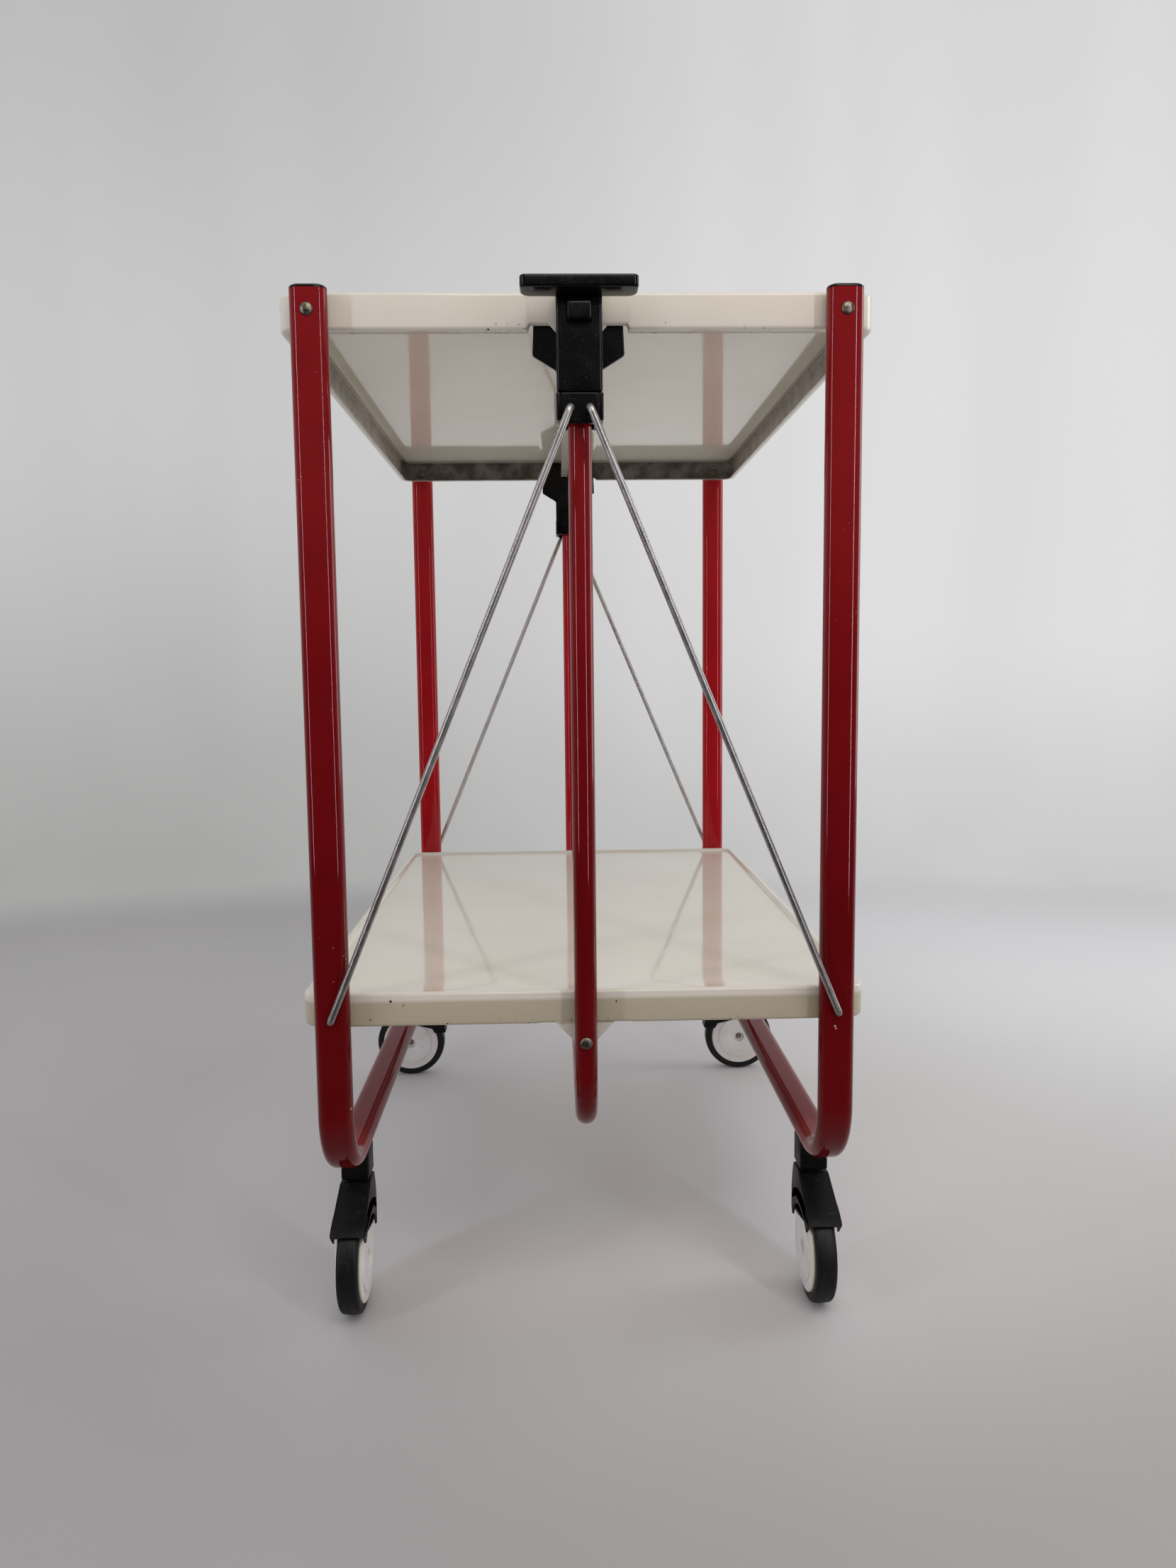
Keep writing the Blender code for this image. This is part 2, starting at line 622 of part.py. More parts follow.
def latch_housing(end_name, end, material):
    """Block round the top of an upright, with a bore for the tube and a pocket for the trigger."""
    half = HOUSING_WIDTH / 2
    front = rectangle((-half, HOUSING_BOTTOM), (half, HOUSING_TOP))
    block = prism(front, "Y", *span(end, HOUSING_FACE_Y, HOUSING_BACK_Y))
    housing = add_object(f"{end_name}_latch_housing", block, material)
    bevel(housing, HOUSING_BEVEL)
    bore_top = UPPER_PIN_HEIGHT + CENTRE_TUBE_PAST_PIN + FIT_GAP
    bore = circle((0, end * TUBE_Y), TUBE_RADIUS + FIT_GAP, CENTRE_TUBE_STEPS)
    combine(housing, prism(bore, "Z", HOUSING_BOTTOM - OVERRUN, bore_top), "DIFFERENCE")
    reach = PIN_POCKET_HALF_WIDTH
    pocket = rectangle((-reach, UPPER_PIN_HEIGHT - reach), (reach, UPPER_PIN_HEIGHT + reach))
    pocket_face = TUBE_FACE_Y + RIVET_HEAD_HEIGHT + 2 * FIT_GAP
    combine(housing, prism(pocket, "Y", *span(end, pocket_face, HOUSING_BACK_Y - OVERRUN)), "DIFFERENCE")
    gap = TRIGGER_WIDTH / 2 + FIT_GAP
    room = TRIGGER_TRAVEL + SLIDE_GAP
    for height, depth in ((TRIGGER_TAIL_HEIGHT, TRIGGER_TAIL + room), (TRIGGER_HEIGHT, room)):
        slot = rectangle((-gap, HOUSING_TOP - height - 2 * FIT_GAP), (gap, HOUSING_TOP + OVERRUN))
        levels = span(end, HOUSING_FACE_Y + OVERRUN, HOUSING_FACE_Y - depth)
        combine(housing, prism(slot, "Y", *levels), "DIFFERENCE")


def handle_bar(end_name, end, material):
    """T handle: a bar across the end with a tongue over the housing."""
    half = HANDLE_WIDTH / 2
    root_half = HOUSING_WIDTH / 2
    chamfer = HANDLE_END_CHAMFER
    radius = HANDLE_CORNER_RADIUS
    back = HOUSING_FACE_Y - HANDLE_OVERLAP
    corner = arc((half - radius, back + radius), radius, 0, -math.pi / 2, CORNER_STEPS)
    right = [(half - chamfer, HANDLE_FACE_Y), (half, HANDLE_FACE_Y - chamfer)] + corner
    right += [(root_half, back), (root_half, HOUSING_BACK_Y)]
    outline = right + [(-x, y) for x, y in reversed(right)]
    bottom = HOUSING_TOP + FIT_GAP
    bar = prism([(x, end * y) for x, y in outline], "Z", bottom, bottom + HANDLE_THICKNESS)
    bevel(add_object(f"{end_name}_handle_bar", bar, material), HANDLE_BEVEL)


def trigger(end_name, end, material):
    """Finger trigger under the handle bar, with a tail that slides in the housing."""
    top = HOUSING_TOP - FIT_GAP
    bottom = top - TRIGGER_HEIGHT
    outer = HOUSING_FACE_Y + TRIGGER_REACH
    inner = HOUSING_FACE_Y - TRIGGER_TAIL
    tail = top - TRIGGER_TAIL_HEIGHT
    outline = [(inner, tail), (HOUSING_FACE_Y, tail), (HOUSING_FACE_Y, bottom), (outer, bottom)]
    outline += [(outer, top - TRIGGER_SLOPE), (HOUSING_FACE_Y, top), (inner, top)]
    half = TRIGGER_WIDTH / 2
    body = prism([(end * y, z) for y, z in outline], "X", -half, half)
    add_object(f"{end_name}_trigger", body, material, (0, end * HOUSING_FACE_Y, top))


def add_wings(shoe, end):
    """Winged plate behind the skirt, joined to the shoe by a lug on each side of the tube."""
    pin = UPPER_PIN_HEIGHT
    neck = SHOE_HALF_WIDTH - WING_NECK_INSET
    shoulder = WING_HALF_WIDTH + WING_FLARE
    left = [(-WING_HALF_WIDTH, WING_TOP), (-shoulder, pin - WING_SIDE_FROM_PIN)]
    left += [(-neck, pin - WING_TAPER_FROM_PIN), (-neck, SHOE_BOTTOM)]
    outline = left + [(-x, z) for x, z in reversed(left)]
    combine(shoe, prism(outline, "Y", *span(end, WING_Y, WING_Y - WING_THICKNESS)), "UNION")
    for _, side in SIDES:
        low, high = sorted((side * (neck - FIT_GAP), side * (neck - WING_LUG_WIDTH)))
        lug = rectangle((low, SHOE_BOTTOM + FIT_GAP), (high, SHOE_TOP - FIT_GAP))
        levels = span(end, HOUSING_BACK_Y + FIT_GAP, WING_Y - WING_THICKNESS / 2)
        combine(shoe, prism(lug, "Y", *levels), "UNION")


def slider_shoe(end_name, end, material):
    """Collar on the upright that takes the stay wires and props the upper tray with its wings."""
    half = SHOE_HALF_WIDTH
    lip = SHOE_LIP_HALF_WIDTH
    low = SHOE_BOTTOM
    outline = [(-half, SHOE_TOP), (-half, low), (-lip, low), (-lip + SHOE_LIP, low - SHOE_LIP)]
    outline += [(-x, z) for x, z in reversed(outline)]
    block = prism(outline, "Y", *span(end, HOUSING_FACE_Y, HOUSING_BACK_Y))
    shoe = add_object(f"{end_name}_slider_shoe", block, material, (0, end * TUBE_Y, SHOE_TOP))
    bevel(shoe, SHOE_BEVEL)
    add_wings(shoe, end)
    bore = circle((0, end * TUBE_Y), TUBE_RADIUS + FIT_GAP, CENTRE_TUBE_STEPS)
    combine(shoe, prism(bore, "Z", low - SHOE_LIP - OVERRUN, SHOE_TOP + OVERRUN), "DIFFERENCE")
    for _, side in SIDES:
        hole = circle((side * WIRE_HOOK_OFFSET, WIRE_TOP_HEIGHT), WIRE_RADIUS + FIT_GAP, WIRE_STEPS)
        levels = span(end, HOUSING_FACE_Y + OVERRUN, HOUSING_FACE_Y - WIRE_HOLE_DEPTH)
        combine(shoe, prism(hole, "Y", *levels), "DIFFERENCE")


def stay_wire(side_name, side, end_name, end, material):
    """Straight wire from the shoe to the leg, bent square at both ends and headed inside the skirt."""
    x = side * PIVOT_HALF_SPACING
    height = pivot_height(TRAY_SPACING)
    stand = WIRE_RADIUS + WIRE_BEND_RADIUS
    hook_x = side * WIRE_HOOK_OFFSET
    tail_y = HALF_LENGTH - SHEET - FIT_GAP
    top_y = HOUSING_FACE_Y + FIT_GAP
    corners = [(hook_x, end * top_y, WIRE_TOP_HEIGHT), (hook_x, end * (top_y + stand), WIRE_TOP_HEIGHT)]
    corners += [(x, end * (LEG_FACE_Y + FIT_GAP + WIRE_RADIUS), height)]
    corners += [(x, end * (tail_y - WIRE_HEAD_HEIGHT), height)]
    path = rounded_path(corners, WIRE_BEND_RADIUS, HOOK_STEPS)
    rings = swept_rings(path, circle((0, 0), WIRE_RADIUS, WIRE_STEPS), (1, 0, 0))
    origin = (x, end * LEG_FACE_Y, height)
    wire = add_object(f"{side_name}_{end_name}_stay_wire", loft(rings), material, origin)
    head = circle((x, height), WIRE_HEAD_RADIUS, ROUND_STEPS)
    combine(wire, prism(head, "Y", *span(end, tail_y, tail_y - WIRE_HEAD_HEIGHT - FIT_GAP)), "UNION")
    shade_round(wire)


def caster_socket(name, x, y, material):
    """Block under the rail that holds a caster's stem."""
    half_width, half_length = SOCKET_WIDTH / 2, SOCKET_LENGTH / 2
    corners = rectangle((x - half_width, y - half_length), (x + half_width, y + half_length))
    socket = add_object(name, prism(corners, "Z", SOCKET_BOTTOM, RAIL_HEIGHT), material)
    around = flat_oval(LEG_WIDTH + 2 * FIT_GAP, LEG_DEPTH + 2 * FIT_GAP)
    combine(socket, loft(swept_rings(side_path(x), around, (1, 0, 0))), "DIFFERENCE")
    bore = circle((x, y), STEM_RADIUS + FIT_GAP, ROUND_STEPS)
    combine(socket, prism(bore, "Z", SOCKET_BOTTOM - OVERRUN, RAIL_BOTTOM - SOCKET_ROOF), "DIFFERENCE")


def hood_outline():
    """Side view of the hood in the caster's own plane: stem at zero, axle ahead of it by the trail."""
    axle = (CASTER_TRAIL, WHEEL_RADIUS)
    outer = WHEEL_RADIUS + HOOD_TYRE_GAP + HOOD_SHELL
    crest = arc(axle, outer, HOOD_FRONT_END_ANGLE, HOOD_FRONT_TOP_ANGLE, CORNER_STEPS - 2)
    wall = CASTER_TRAIL - WHEEL_RADIUS - HOOD_WALL_FROM_TYRE
    end = WHEEL_RADIUS + HOOD_END_HEIGHT
    drop = HOOD_TOP - end
    reach = -HOOD_PAD_BACK - wall
    shoulder = [(-HOOD_PAD_BACK - reach * a, HOOD_TOP - drop * b) for a, b in HOOD_SHOULDER_SHARES]
    start = math.pi - math.asin(HOOD_END_HEIGHT / HOOD_ARCH_RADIUS)
    arch = arc(axle, HOOD_ARCH_RADIUS, start, HOOD_FRONT_END_ANGLE, 2 * CORNER_STEPS)
    pad = [(HOOD_PAD_FRONT, HOOD_TOP), (-HOOD_PAD_BACK, HOOD_TOP)]
    return crest + pad + shoulder + [(wall, end)] + arch


def caster_frame(item, x, y, turn):
    """Stands a piece drawn about its own stem at its place under the rail."""
    item.location = (x, y, 0)
    item.rotation_euler = (0, 0, turn)


def caster_hood(name, x, y, turn, material):
    """Hood over the wheel with a web down the middle to the axle."""
    half = HOOD_WIDTH / 2
    hood = add_object(name, prism(hood_outline(), "Y", -half, half), material)
    axle = (CASTER_TRAIL, WHEEL_RADIUS)
    inner = half - HOOD_CHEEK
    room = prism(circle(axle, WHEEL_RADIUS + HOOD_TYRE_GAP, WHEEL_STEPS), "Y", -inner, inner)
    socket = circle((0, 0), STEM_RADIUS + FIT_GAP, ROUND_STEPS)
    bore = prism(socket, "Z", HOOD_TOP - STEM_DEPTH_IN_HOOD, HOOD_TOP + OVERRUN)
    web_half = WEB_THICKNESS / 2
    boss = arc(axle, WEB_HALF_WIDTH, -math.pi, 0, 2 * CORNER_STEPS)
    roof = WHEEL_RADIUS + math.sqrt(WHEEL_RADIUS ** 2 - WEB_HALF_WIDTH ** 2) + HOOD_TYRE_GAP + HOOD_SHELL / 2
    web = prism(boss + [(boss[-1][0], roof), (boss[0][0], roof)], "Y", -web_half, web_half)
    hole = prism(circle(axle, AXLE_RADIUS + FIT_GAP, ROUND_STEPS), "Y", -half, half)
    for tool, operation in ((room, "DIFFERENCE"), (bore, "DIFFERENCE"), (web, "UNION"), (hole, "DIFFERENCE")):
        combine(hood, tool, operation)
        caster_frame(hood.modifiers[-1].object, x, y, turn)
    caster_frame(hood, x, y, turn)


def caster_stem(name, x, y, turn, material):
    """Steel stem with a collar between the hood and the socket."""
    top = RAIL_BOTTOM - SOCKET_ROOF - FIT_GAP
    collar = HOOD_TOP + FIT_GAP
    foot = HOOD_TOP - STEM_DEPTH_IN_HOOD + FIT_GAP
    shoulder = collar + STEM_COLLAR_HEIGHT
    profile = [(0, foot), (STEM_RADIUS, foot), (STEM_RADIUS, collar), (STEM_COLLAR_RADIUS, collar)]
    profile += [(STEM_COLLAR_RADIUS, shoulder), (STEM_RADIUS, shoulder), (STEM_RADIUS, top), (0, top)]
    stem = add_object(name, lathe(profile, "Z", (0, 0, 0), ROUND_STEPS), material)
    caster_frame(stem, x, y, turn)
    shade_round(stem)


def wheel_frame(item, x, y, turn):
    """Stands a piece drawn about its own axle at its place under the hood."""
    item.location = (x + CASTER_TRAIL * math.cos(turn), y + CASTER_TRAIL * math.sin(turn), WHEEL_RADIUS)
    item.rotation_euler = (0, 0, turn)
    shade_round(item)


def wheel_disc(name, face, x, y, turn, material):
    """Hub disc on one side of the web: the right one carries the axle, and the left one its bore."""
    inner = WEB_THICKNESS / 2 + SLIDE_GAP
    radius = WHEEL_RADIUS - TYRE_DEPTH - FIT_GAP
    bore = AXLE_RADIUS + FIT_GAP
    edge = DISC_OUTER_FACE - DISC_CROWN
    floor = DISC_OUTER_FACE - HUB_RECESS_DEPTH
    profile = [(radius, inner), (radius, edge), (DISC_STEP_RADIUS + DISC_CROWN, edge)]
    profile += [(DISC_STEP_RADIUS, DISC_OUTER_FACE), (HUB_RECESS_RADIUS, DISC_OUTER_FACE)]
    profile += [(HUB_RECESS_RADIUS, floor)]
    if face > 0:
        profile = [(0, -floor), (AXLE_RADIUS, -floor), (AXLE_RADIUS, inner)] + profile + [(0, floor)]
    else:
        profile = [(bore, inner)] + profile + [(bore, floor)]
    disc = lathe([(r, face * level) for r, level in profile], "Y", (0, 0, 0), WHEEL_STEPS)
    wheel_frame(add_object(name, disc, material), x, y, turn)


def wheel_tyre(name, face, x, y, turn, material):
    """Tyre on one disc, with a rounded tread."""
    inner = WEB_THICKNESS / 2 + SLIDE_GAP
    low = WHEEL_RADIUS - TYRE_DEPTH
    shoulder = WHEEL_RADIUS - TYRE_ROUND
    profile = [(low, inner), (WHEEL_RADIUS, inner), (WHEEL_RADIUS, TYRE_OUTER_FACE - TYRE_ROUND)]
    profile += [(shoulder, TYRE_OUTER_FACE), (low, TYRE_OUTER_FACE)]
    tyre = lathe([(r, face * level) for r, level in profile], "Y", (0, 0, 0), WHEEL_STEPS)
    wheel_frame(add_object(name, tyre, material), x, y, turn)


def caster(side_name, side, end_name, end, finishes):
    """One swivel caster: the front pair stand along the trolley, the back pair across it."""
    name = f"{side_name}_{end_name}_caster"
    x, y = side * PIVOT_HALF_SPACING, end * STEM_FROM_MIDDLE
    turn = -math.pi / 2 if end < 0 else (math.pi if side < 0 else 0)
    caster_socket(f"{name}_socket", x, y, finishes["black"])
    caster_hood(f"{name}_hood", x, y, turn, finishes["black"])
    caster_stem(f"{name}_stem", x, y, turn, finishes["zinc"])
    for face_name, face in SIDES:
        wheel_disc(f"{name}_{face_name}_disc", face, x, y, turn, finishes["ivory"])
        wheel_tyre(f"{name}_{face_name}_tyre", face, x, y, turn, finishes["rubber"])


def main():
    """Builds the whole trolley, standing open."""
    clear_scene()
    finishes = make_materials()
    for side_name, side in SIDES:
        side_frame(side_name, side, finishes["red"])
        for end_name, end in ENDS:
            leg = f"{side_name}_{end_name}"
            x = side * PIVOT_HALF_SPACING
            pivot_rivet(f"{leg}_pivot_rivet", x, end, finishes["zinc"])
            leg_cap(f"{leg}_leg_cap", x, end * LEG_Y, finishes["black"])
            stay_wire(side_name, side, end_name, end, finishes["zinc"])
            caster(side_name, side, end_name, end, finishes)
    centre_frame(finishes["red"])
    for level, drop in LEVELS:
        for end_name, end in ENDS:
            centre_pin(f"{level}_{end_name}_centre_pin", drop, end, finishes["zinc"])
        for side_name, side in SIDES:
            tray_half(level, drop, side_name, side, finishes["cream"])
    for end_name, end in ENDS:
        latch_housing(end_name, end, finishes["black"])
        handle_bar(end_name, end, finishes["black"])
        trigger(end_name, end, finishes["black"])
        slider_shoe(end_name, end, finishes["black"])


main()
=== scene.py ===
"""Finished view of the folding serving trolley: fine surfaces, enamels, plastics and soft light."""

import json
import math

import bmesh
import bpy
import numpy as np
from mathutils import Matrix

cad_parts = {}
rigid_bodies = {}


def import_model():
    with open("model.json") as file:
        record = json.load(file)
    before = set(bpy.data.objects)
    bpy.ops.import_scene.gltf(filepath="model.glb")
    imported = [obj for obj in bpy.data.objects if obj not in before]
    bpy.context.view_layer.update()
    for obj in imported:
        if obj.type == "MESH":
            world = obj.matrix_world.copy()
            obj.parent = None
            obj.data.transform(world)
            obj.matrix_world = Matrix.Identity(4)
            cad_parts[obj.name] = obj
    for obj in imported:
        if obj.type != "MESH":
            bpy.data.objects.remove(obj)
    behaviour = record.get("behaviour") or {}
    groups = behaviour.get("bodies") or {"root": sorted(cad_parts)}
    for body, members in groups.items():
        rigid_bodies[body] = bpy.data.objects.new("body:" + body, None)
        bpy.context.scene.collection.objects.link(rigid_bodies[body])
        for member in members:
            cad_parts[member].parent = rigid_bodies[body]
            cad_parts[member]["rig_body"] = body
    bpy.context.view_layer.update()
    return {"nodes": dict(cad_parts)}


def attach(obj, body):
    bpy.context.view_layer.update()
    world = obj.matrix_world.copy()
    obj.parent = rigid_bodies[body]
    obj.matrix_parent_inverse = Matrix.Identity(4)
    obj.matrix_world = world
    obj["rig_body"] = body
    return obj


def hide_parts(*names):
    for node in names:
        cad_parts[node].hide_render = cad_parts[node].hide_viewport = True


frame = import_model()

# Sizes of the trolley in metres, as in its solids, but for the hubs, which are sunk 1.5 mm deeper
TRAY_TOP = 0.7395
TRAY_SPACING = 0.479
HALF_LENGTH = 0.312
HALF_WIDTH = 0.202
HALF_SEAM = 0.0004
SHEET = 0.001
SKIRT_DEPTH = 0.0243
CORNER_RADIUS = 0.016
RIM_ROUND = 0.0025
RIM_SHOULDER = 0.005
RIM_WIDTH = 0.009
FLOOR_DROP = 0.003
FLANGE_GAP = 0.0003
FLANGE_WIDTH = 0.008
FLANGE_END_Y = 0.298
SKIRT_FOLD = 0.0026
HEM_WIDTH = 0.0075
CORNER_HEM_WIDTH = 0.0040
SKIRT_INSIDE_Y = 0.3107
UPPER_TRAY = {"step": 0.0028, "root": 0.0220, "eye_radius": 0.0070}
LOWER_TRAY = {"step": 0.0004, "root": 0.0235, "eye_radius": 0.0088}
PIVOT_X = 0.178
PIVOT_DROP = 0.0155
PIN_DROP = 0.0335
LEG_Y = 0.320
LEG_FACE_Y = 0.3275
LEG_TOP = 0.738
LEG_WIDTH = 0.025
LEG_DEPTH = 0.015
LEG_BEND = 0.050
RAIL_HEIGHT = 0.1265
TUBE_Y = 0.3205
TUBE_FACE_Y = 0.3285
TUBE_RADIUS = 0.008
TUBE_TOP = 0.712
TUBE_BEND = 0.040
CENTRE_RAIL = 0.1605
HOUSING_HALF_WIDTH = 0.01515
HOUSING_FACE_Y = 0.337
HOUSING_BACK_Y = 0.3128
HOUSING_TOP = 0.730
HOUSING_BOTTOM = 0.6691
SLOT_HALF_WIDTH = 0.0079
TRIGGER_HALF_WIDTH = 0.0076
TRIGGER_SEAT_Y = 0.330
HANDLE_HALF_WIDTH = 0.0382
HANDLE_FACE_Y = 0.3515
HANDLE_BOTTOM = 0.7303
HANDLE_TOP = 0.7383
SHOE_HALF_WIDTH = 0.0126
CHEEK_HALF_WIDTH = 0.01555
SHOE_TOP = 0.6685
SHOE_BOTTOM = 0.6505
WIRE_RADIUS = 0.0025
WIRE_TOP = 0.658
STEM_Y = 0.245
SOCKET_HALF_WIDTH = 0.01075
SOCKET_HALF_LENGTH = 0.012
SOCKET_BOTTOM = 0.0975
SOCKET_TOP = 0.1196
HOOD_TOP = 0.0955
HOOD_HALF_WIDTH = 0.013
HOOD_CHEEK_INSIDE = 0.0111
ARCH_RADIUS = 0.0315
WEB_HALF_WIDTH = 0.0015
BOSS_RADIUS = 0.009
TRAIL = 0.021
WHEEL_RADIUS = 0.040
WHEEL_INSIDE = 0.002
DISC_RADIUS = 0.0325
DISC_ROUND = 0.0016
DISC_FACE = 0.0108
HUB_FLOOR = 0.0068
BORE_RADIUS = 0.0033
TYRE_ROUND = 0.0032

# Single knocks that the photo shows, as places in m and sizes in mm
PRIMER_KNOCKS = (((0.1755, -0.3275, 0.2358), 0.5), ((0.1762, -0.3275, 0.2342), 0.4), ((-0.1663, -0.3236, 0.1812), 0.6))
RUST_KNOCKS = (((-0.1289, -0.312, 0.2519), 0.3), ((-0.1298, -0.312, 0.2512), 0.3), ((-0.153, -0.312, 0.2415), 0.6))
DARK_KNOCKS = (((-0.1384, -0.312, 0.2547), 0.7), ((-0.0985, -0.312, 0.2375), 0.5), ((0.022, -0.312, 0.252), 0.4))

SHARP_ANGLE = math.radians(38)
WELD_DISTANCE = 2e-6
PATH_STEP = 0.015

# Camera fitted to the photograph: focal length and height in its pixels, place in m, turn, tilt and roll in degrees
FOCAL_PIXELS = 1597.1
PICTURE_HEIGHT = 2212
SENSOR_WIDTH = 36.0
CAMERA_PLACE = (-0.0183, -1.0992, 0.4893)
CAMERA_ANGLES = (1.575, 5.887, 0.585)

SIDES = (("left", -1), ("right", 1))
ENDS = (("front", -1), ("back", 1))


def linear(code):
    """Linear colour of an sRGB hex code: c / 12.92 up to 0.04045, else ((c + 0.055) / 1.055) ^ 2.4."""
    c = np.array([int(code[i:i + 2], 16) for i in (1, 3, 5)]) / 255
    return (*np.where(c <= 0.04045, c / 12.92, ((c + 0.055) / 1.055) ** 2.4).tolist(), 1.0)


def unit(vectors):
    """Each vector divided by its length."""
    return vectors / np.linalg.norm(vectors, axis=-1, keepdims=True)


def grid_faces(rows, columns, round_rows=False, round_columns=True):
    """Quads of a grid: corner (i, j) with (i+1, j), (i+1, j+1) and (i, j+1), counted round where it closes."""
    starts = np.arange(rows - (not round_rows)), np.arange(columns - (not round_columns))
    i, j = np.meshgrid(*starts, indexing="ij")
    corners = ((i, j), (i + 1, j), (i + 1, j + 1), (i, j + 1))
    return np.stack([(a % rows) * columns + b % columns for a, b in corners], -1).reshape(-1, 4).tolist()


def skin(grid, round_rows=False):
    """Closed skin of rings of points: neighbours joined by quads, and a flat face at each open end."""
    rows, columns = grid.shape[:2]
    faces = grid_faces(rows, columns, round_rows)
    if not round_rows:
        faces += [list(range(columns)), list(range((rows - 1) * columns, rows * columns))]
    return grid.reshape(-1, 3), faces


def piece(node, finish, shells, marks=None, part=""):
    """One piece made of closed skins, riding and standing in for the CAD node of its name, or a part added to it."""
    points = np.concatenate([skin_points for skin_points, _ in shells])
    faces, first = [], 0
    for skin_points, skin_faces in shells:
        faces += [[corner + first for corner in face] for face in skin_faces]
        first += len(skin_points)
    name = node + part + "_fine"
    mesh = bpy.data.meshes.new(name)
    mesh.from_pydata(points.tolist(), [], faces)
    if marks is not None:
        mesh.attributes.new("shade", "FLOAT", "POINT").data.foreach_set("value", marks)
    work = bmesh.new()
    work.from_mesh(mesh)
    bmesh.ops.remove_doubles(work, verts=work.verts, dist=WELD_DISTANCE)
    bmesh.ops.recalc_face_normals(work, faces=work.faces)
    work.to_mesh(mesh)
    work.free()
    mesh.shade_smooth()
    mesh.set_sharp_from_angle(angle=SHARP_ANGLE)
    mesh.materials.append(finish)
    item = bpy.data.objects.new(name, mesh)
    bpy.context.scene.collection.objects.link(item)
    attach(item, frame["nodes"][node]["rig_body"])
    if not part:
        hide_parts(node)


def arc(centre, radius, start, stop, steps):
    """Points c + r (cos a, sin a) with a from start to stop degrees."""
    a = np.radians(np.linspace(start, stop, steps + 1))
    return np.array(centre) + radius * np.stack([np.cos(a), np.sin(a)], -1)


def flat_oval(width, depth, steps=20):
    """Two half circles of radius depth / 2, joined by flats."""
    reach = (width - depth) / 2
    right, left = arc((reach, 0), depth / 2, -90, 90, steps), arc((-reach, 0), depth / 2, 90, 270, steps)
    return np.concatenate([right, left])


def rounded(corners, steps=5):
    """Closed outline of (a, b, r) corners: at each an arc of radius r from tangent to tangent."""
    parts, count = [], len(corners)
    for k, (a, b, r) in enumerate(corners):
        here = np.array([a, b])
        back = unit(np.array(corners[k - 1][:2]) - here)
        on = unit(np.array(corners[(k + 1) % count][:2]) - here)
        half = math.acos(float(np.clip(back @ on, -1, 1))) / 2
        if r <= 0 or half > 1.55:
            parts.append(here[None])
            continue
        centre = here + unit(back + on) * r / math.sin(half)
        spoke = here + back * r / math.tan(half) - centre
        turn = np.linspace(0, math.pi - 2 * half, steps + 1)[:, None]
        parts.append(centre + spoke * np.cos(turn) - back * r * np.sin(turn))
    return np.concatenate(parts)


def inset(outline, depth):
    """Outline moved inward by depth: p - n d / cos(h), with n the mean edge normal and h half the turn."""
    ahead = unit(np.roll(outline, -1, 0) - outline)
    behind = np.roll(ahead, 1, 0)
    mean = unit(ahead + behind)
    normal = np.stack([mean[:, 1], -mean[:, 0]], -1)
    onward = np.roll(outline, -1, 0)
    area = np.sum(outline[:, 0] * onward[:, 1] - onward[:, 0] * outline[:, 1])
    return outline - np.sign(area) * normal * depth / np.clip(np.sum(mean * ahead, 1), 0.4, 1)[:, None]


def slab(outline, axis, low, high, low_round=0.0008, high_round=0.0008, steps=4):
    """Outline carried along an axis. Its ends are rounded by quarter circles: inset r (1 - sin a), rise
    r (1 - cos a)."""
    rings, levels = [], []
    for end, other, r in ((low, high, low_round), (high, low, high_round)):
        a = np.linspace(0, math.pi / 2, steps + 1) if r > 0 else np.array([math.pi / 2])
        depths, rises = r * (1 - np.sin(a)), r * (1 - np.cos(a)) * np.sign(other - end)
        order = slice(None) if end == low else slice(None, None, -1)
        rings += [inset(outline, d) for d in depths[order]]
        levels += list((end + rises)[order])
    flat = np.array(rings)
    level = np.broadcast_to(np.array(levels)[:, None], flat.shape[:2])
    place = {"X": (level, flat[..., 0], flat[..., 1]), "Y": (flat[..., 0], level, flat[..., 1])}
    return skin(np.stack(place.get(axis, (flat[..., 0], flat[..., 1], level)), -1))


def bent(corners, radii, steps=24):
    """Path through corners with arcs c + s cos a + t sin a at the inner ones, s the spoke and t the way on,
    and a point at least every PATH_STEP along the straights."""
    corners = np.array(corners, float)
    parts = [corners[:1]]
    radii = np.broadcast_to(radii, len(corners) - 2)
    for before, corner, after, radius in zip(corners, corners[1:], corners[2:], radii):
        back, on = unit(before - corner), unit(after - corner)
        half = math.acos(float(back @ on)) / 2
        centre = corner + unit(back + on) * radius / math.sin(half)
        spoke = corner + back * radius / math.tan(half) - centre
        a = np.linspace(0, math.pi - 2 * half, steps + 1)[:, None]
        parts.append(centre + spoke * np.cos(a) - back * radius * np.sin(a))
    path = np.concatenate(parts + [corners[-1:]])
    counts = np.ceil(np.linalg.norm(np.diff(path, axis=0), axis=1) / PATH_STEP).astype(int)
    spans = [np.linspace(start, stop, count, endpoint=False) for start, stop, count in zip(path, path[1:], counts)]
    return np.concatenate(spans + [path[-1:]])


def carried(path, section):
    """Section (a, b) carried along a path: p + s a + (d x s) b, with d the path's way and s across it nearest to X."""
    steps = unit(np.diff(path, axis=0))
    way = unit(np.concatenate([steps[:1], steps[1:] + steps[:-1], steps[-1:]]))
    side = unit(np.array([1.0, 0, 0]) - way * way[:, :1])
    normal = np.cross(way, side)
    return path[:, None] + side[:, None] * section[None, :, :1] + normal[:, None] * section[None, :, 1:]


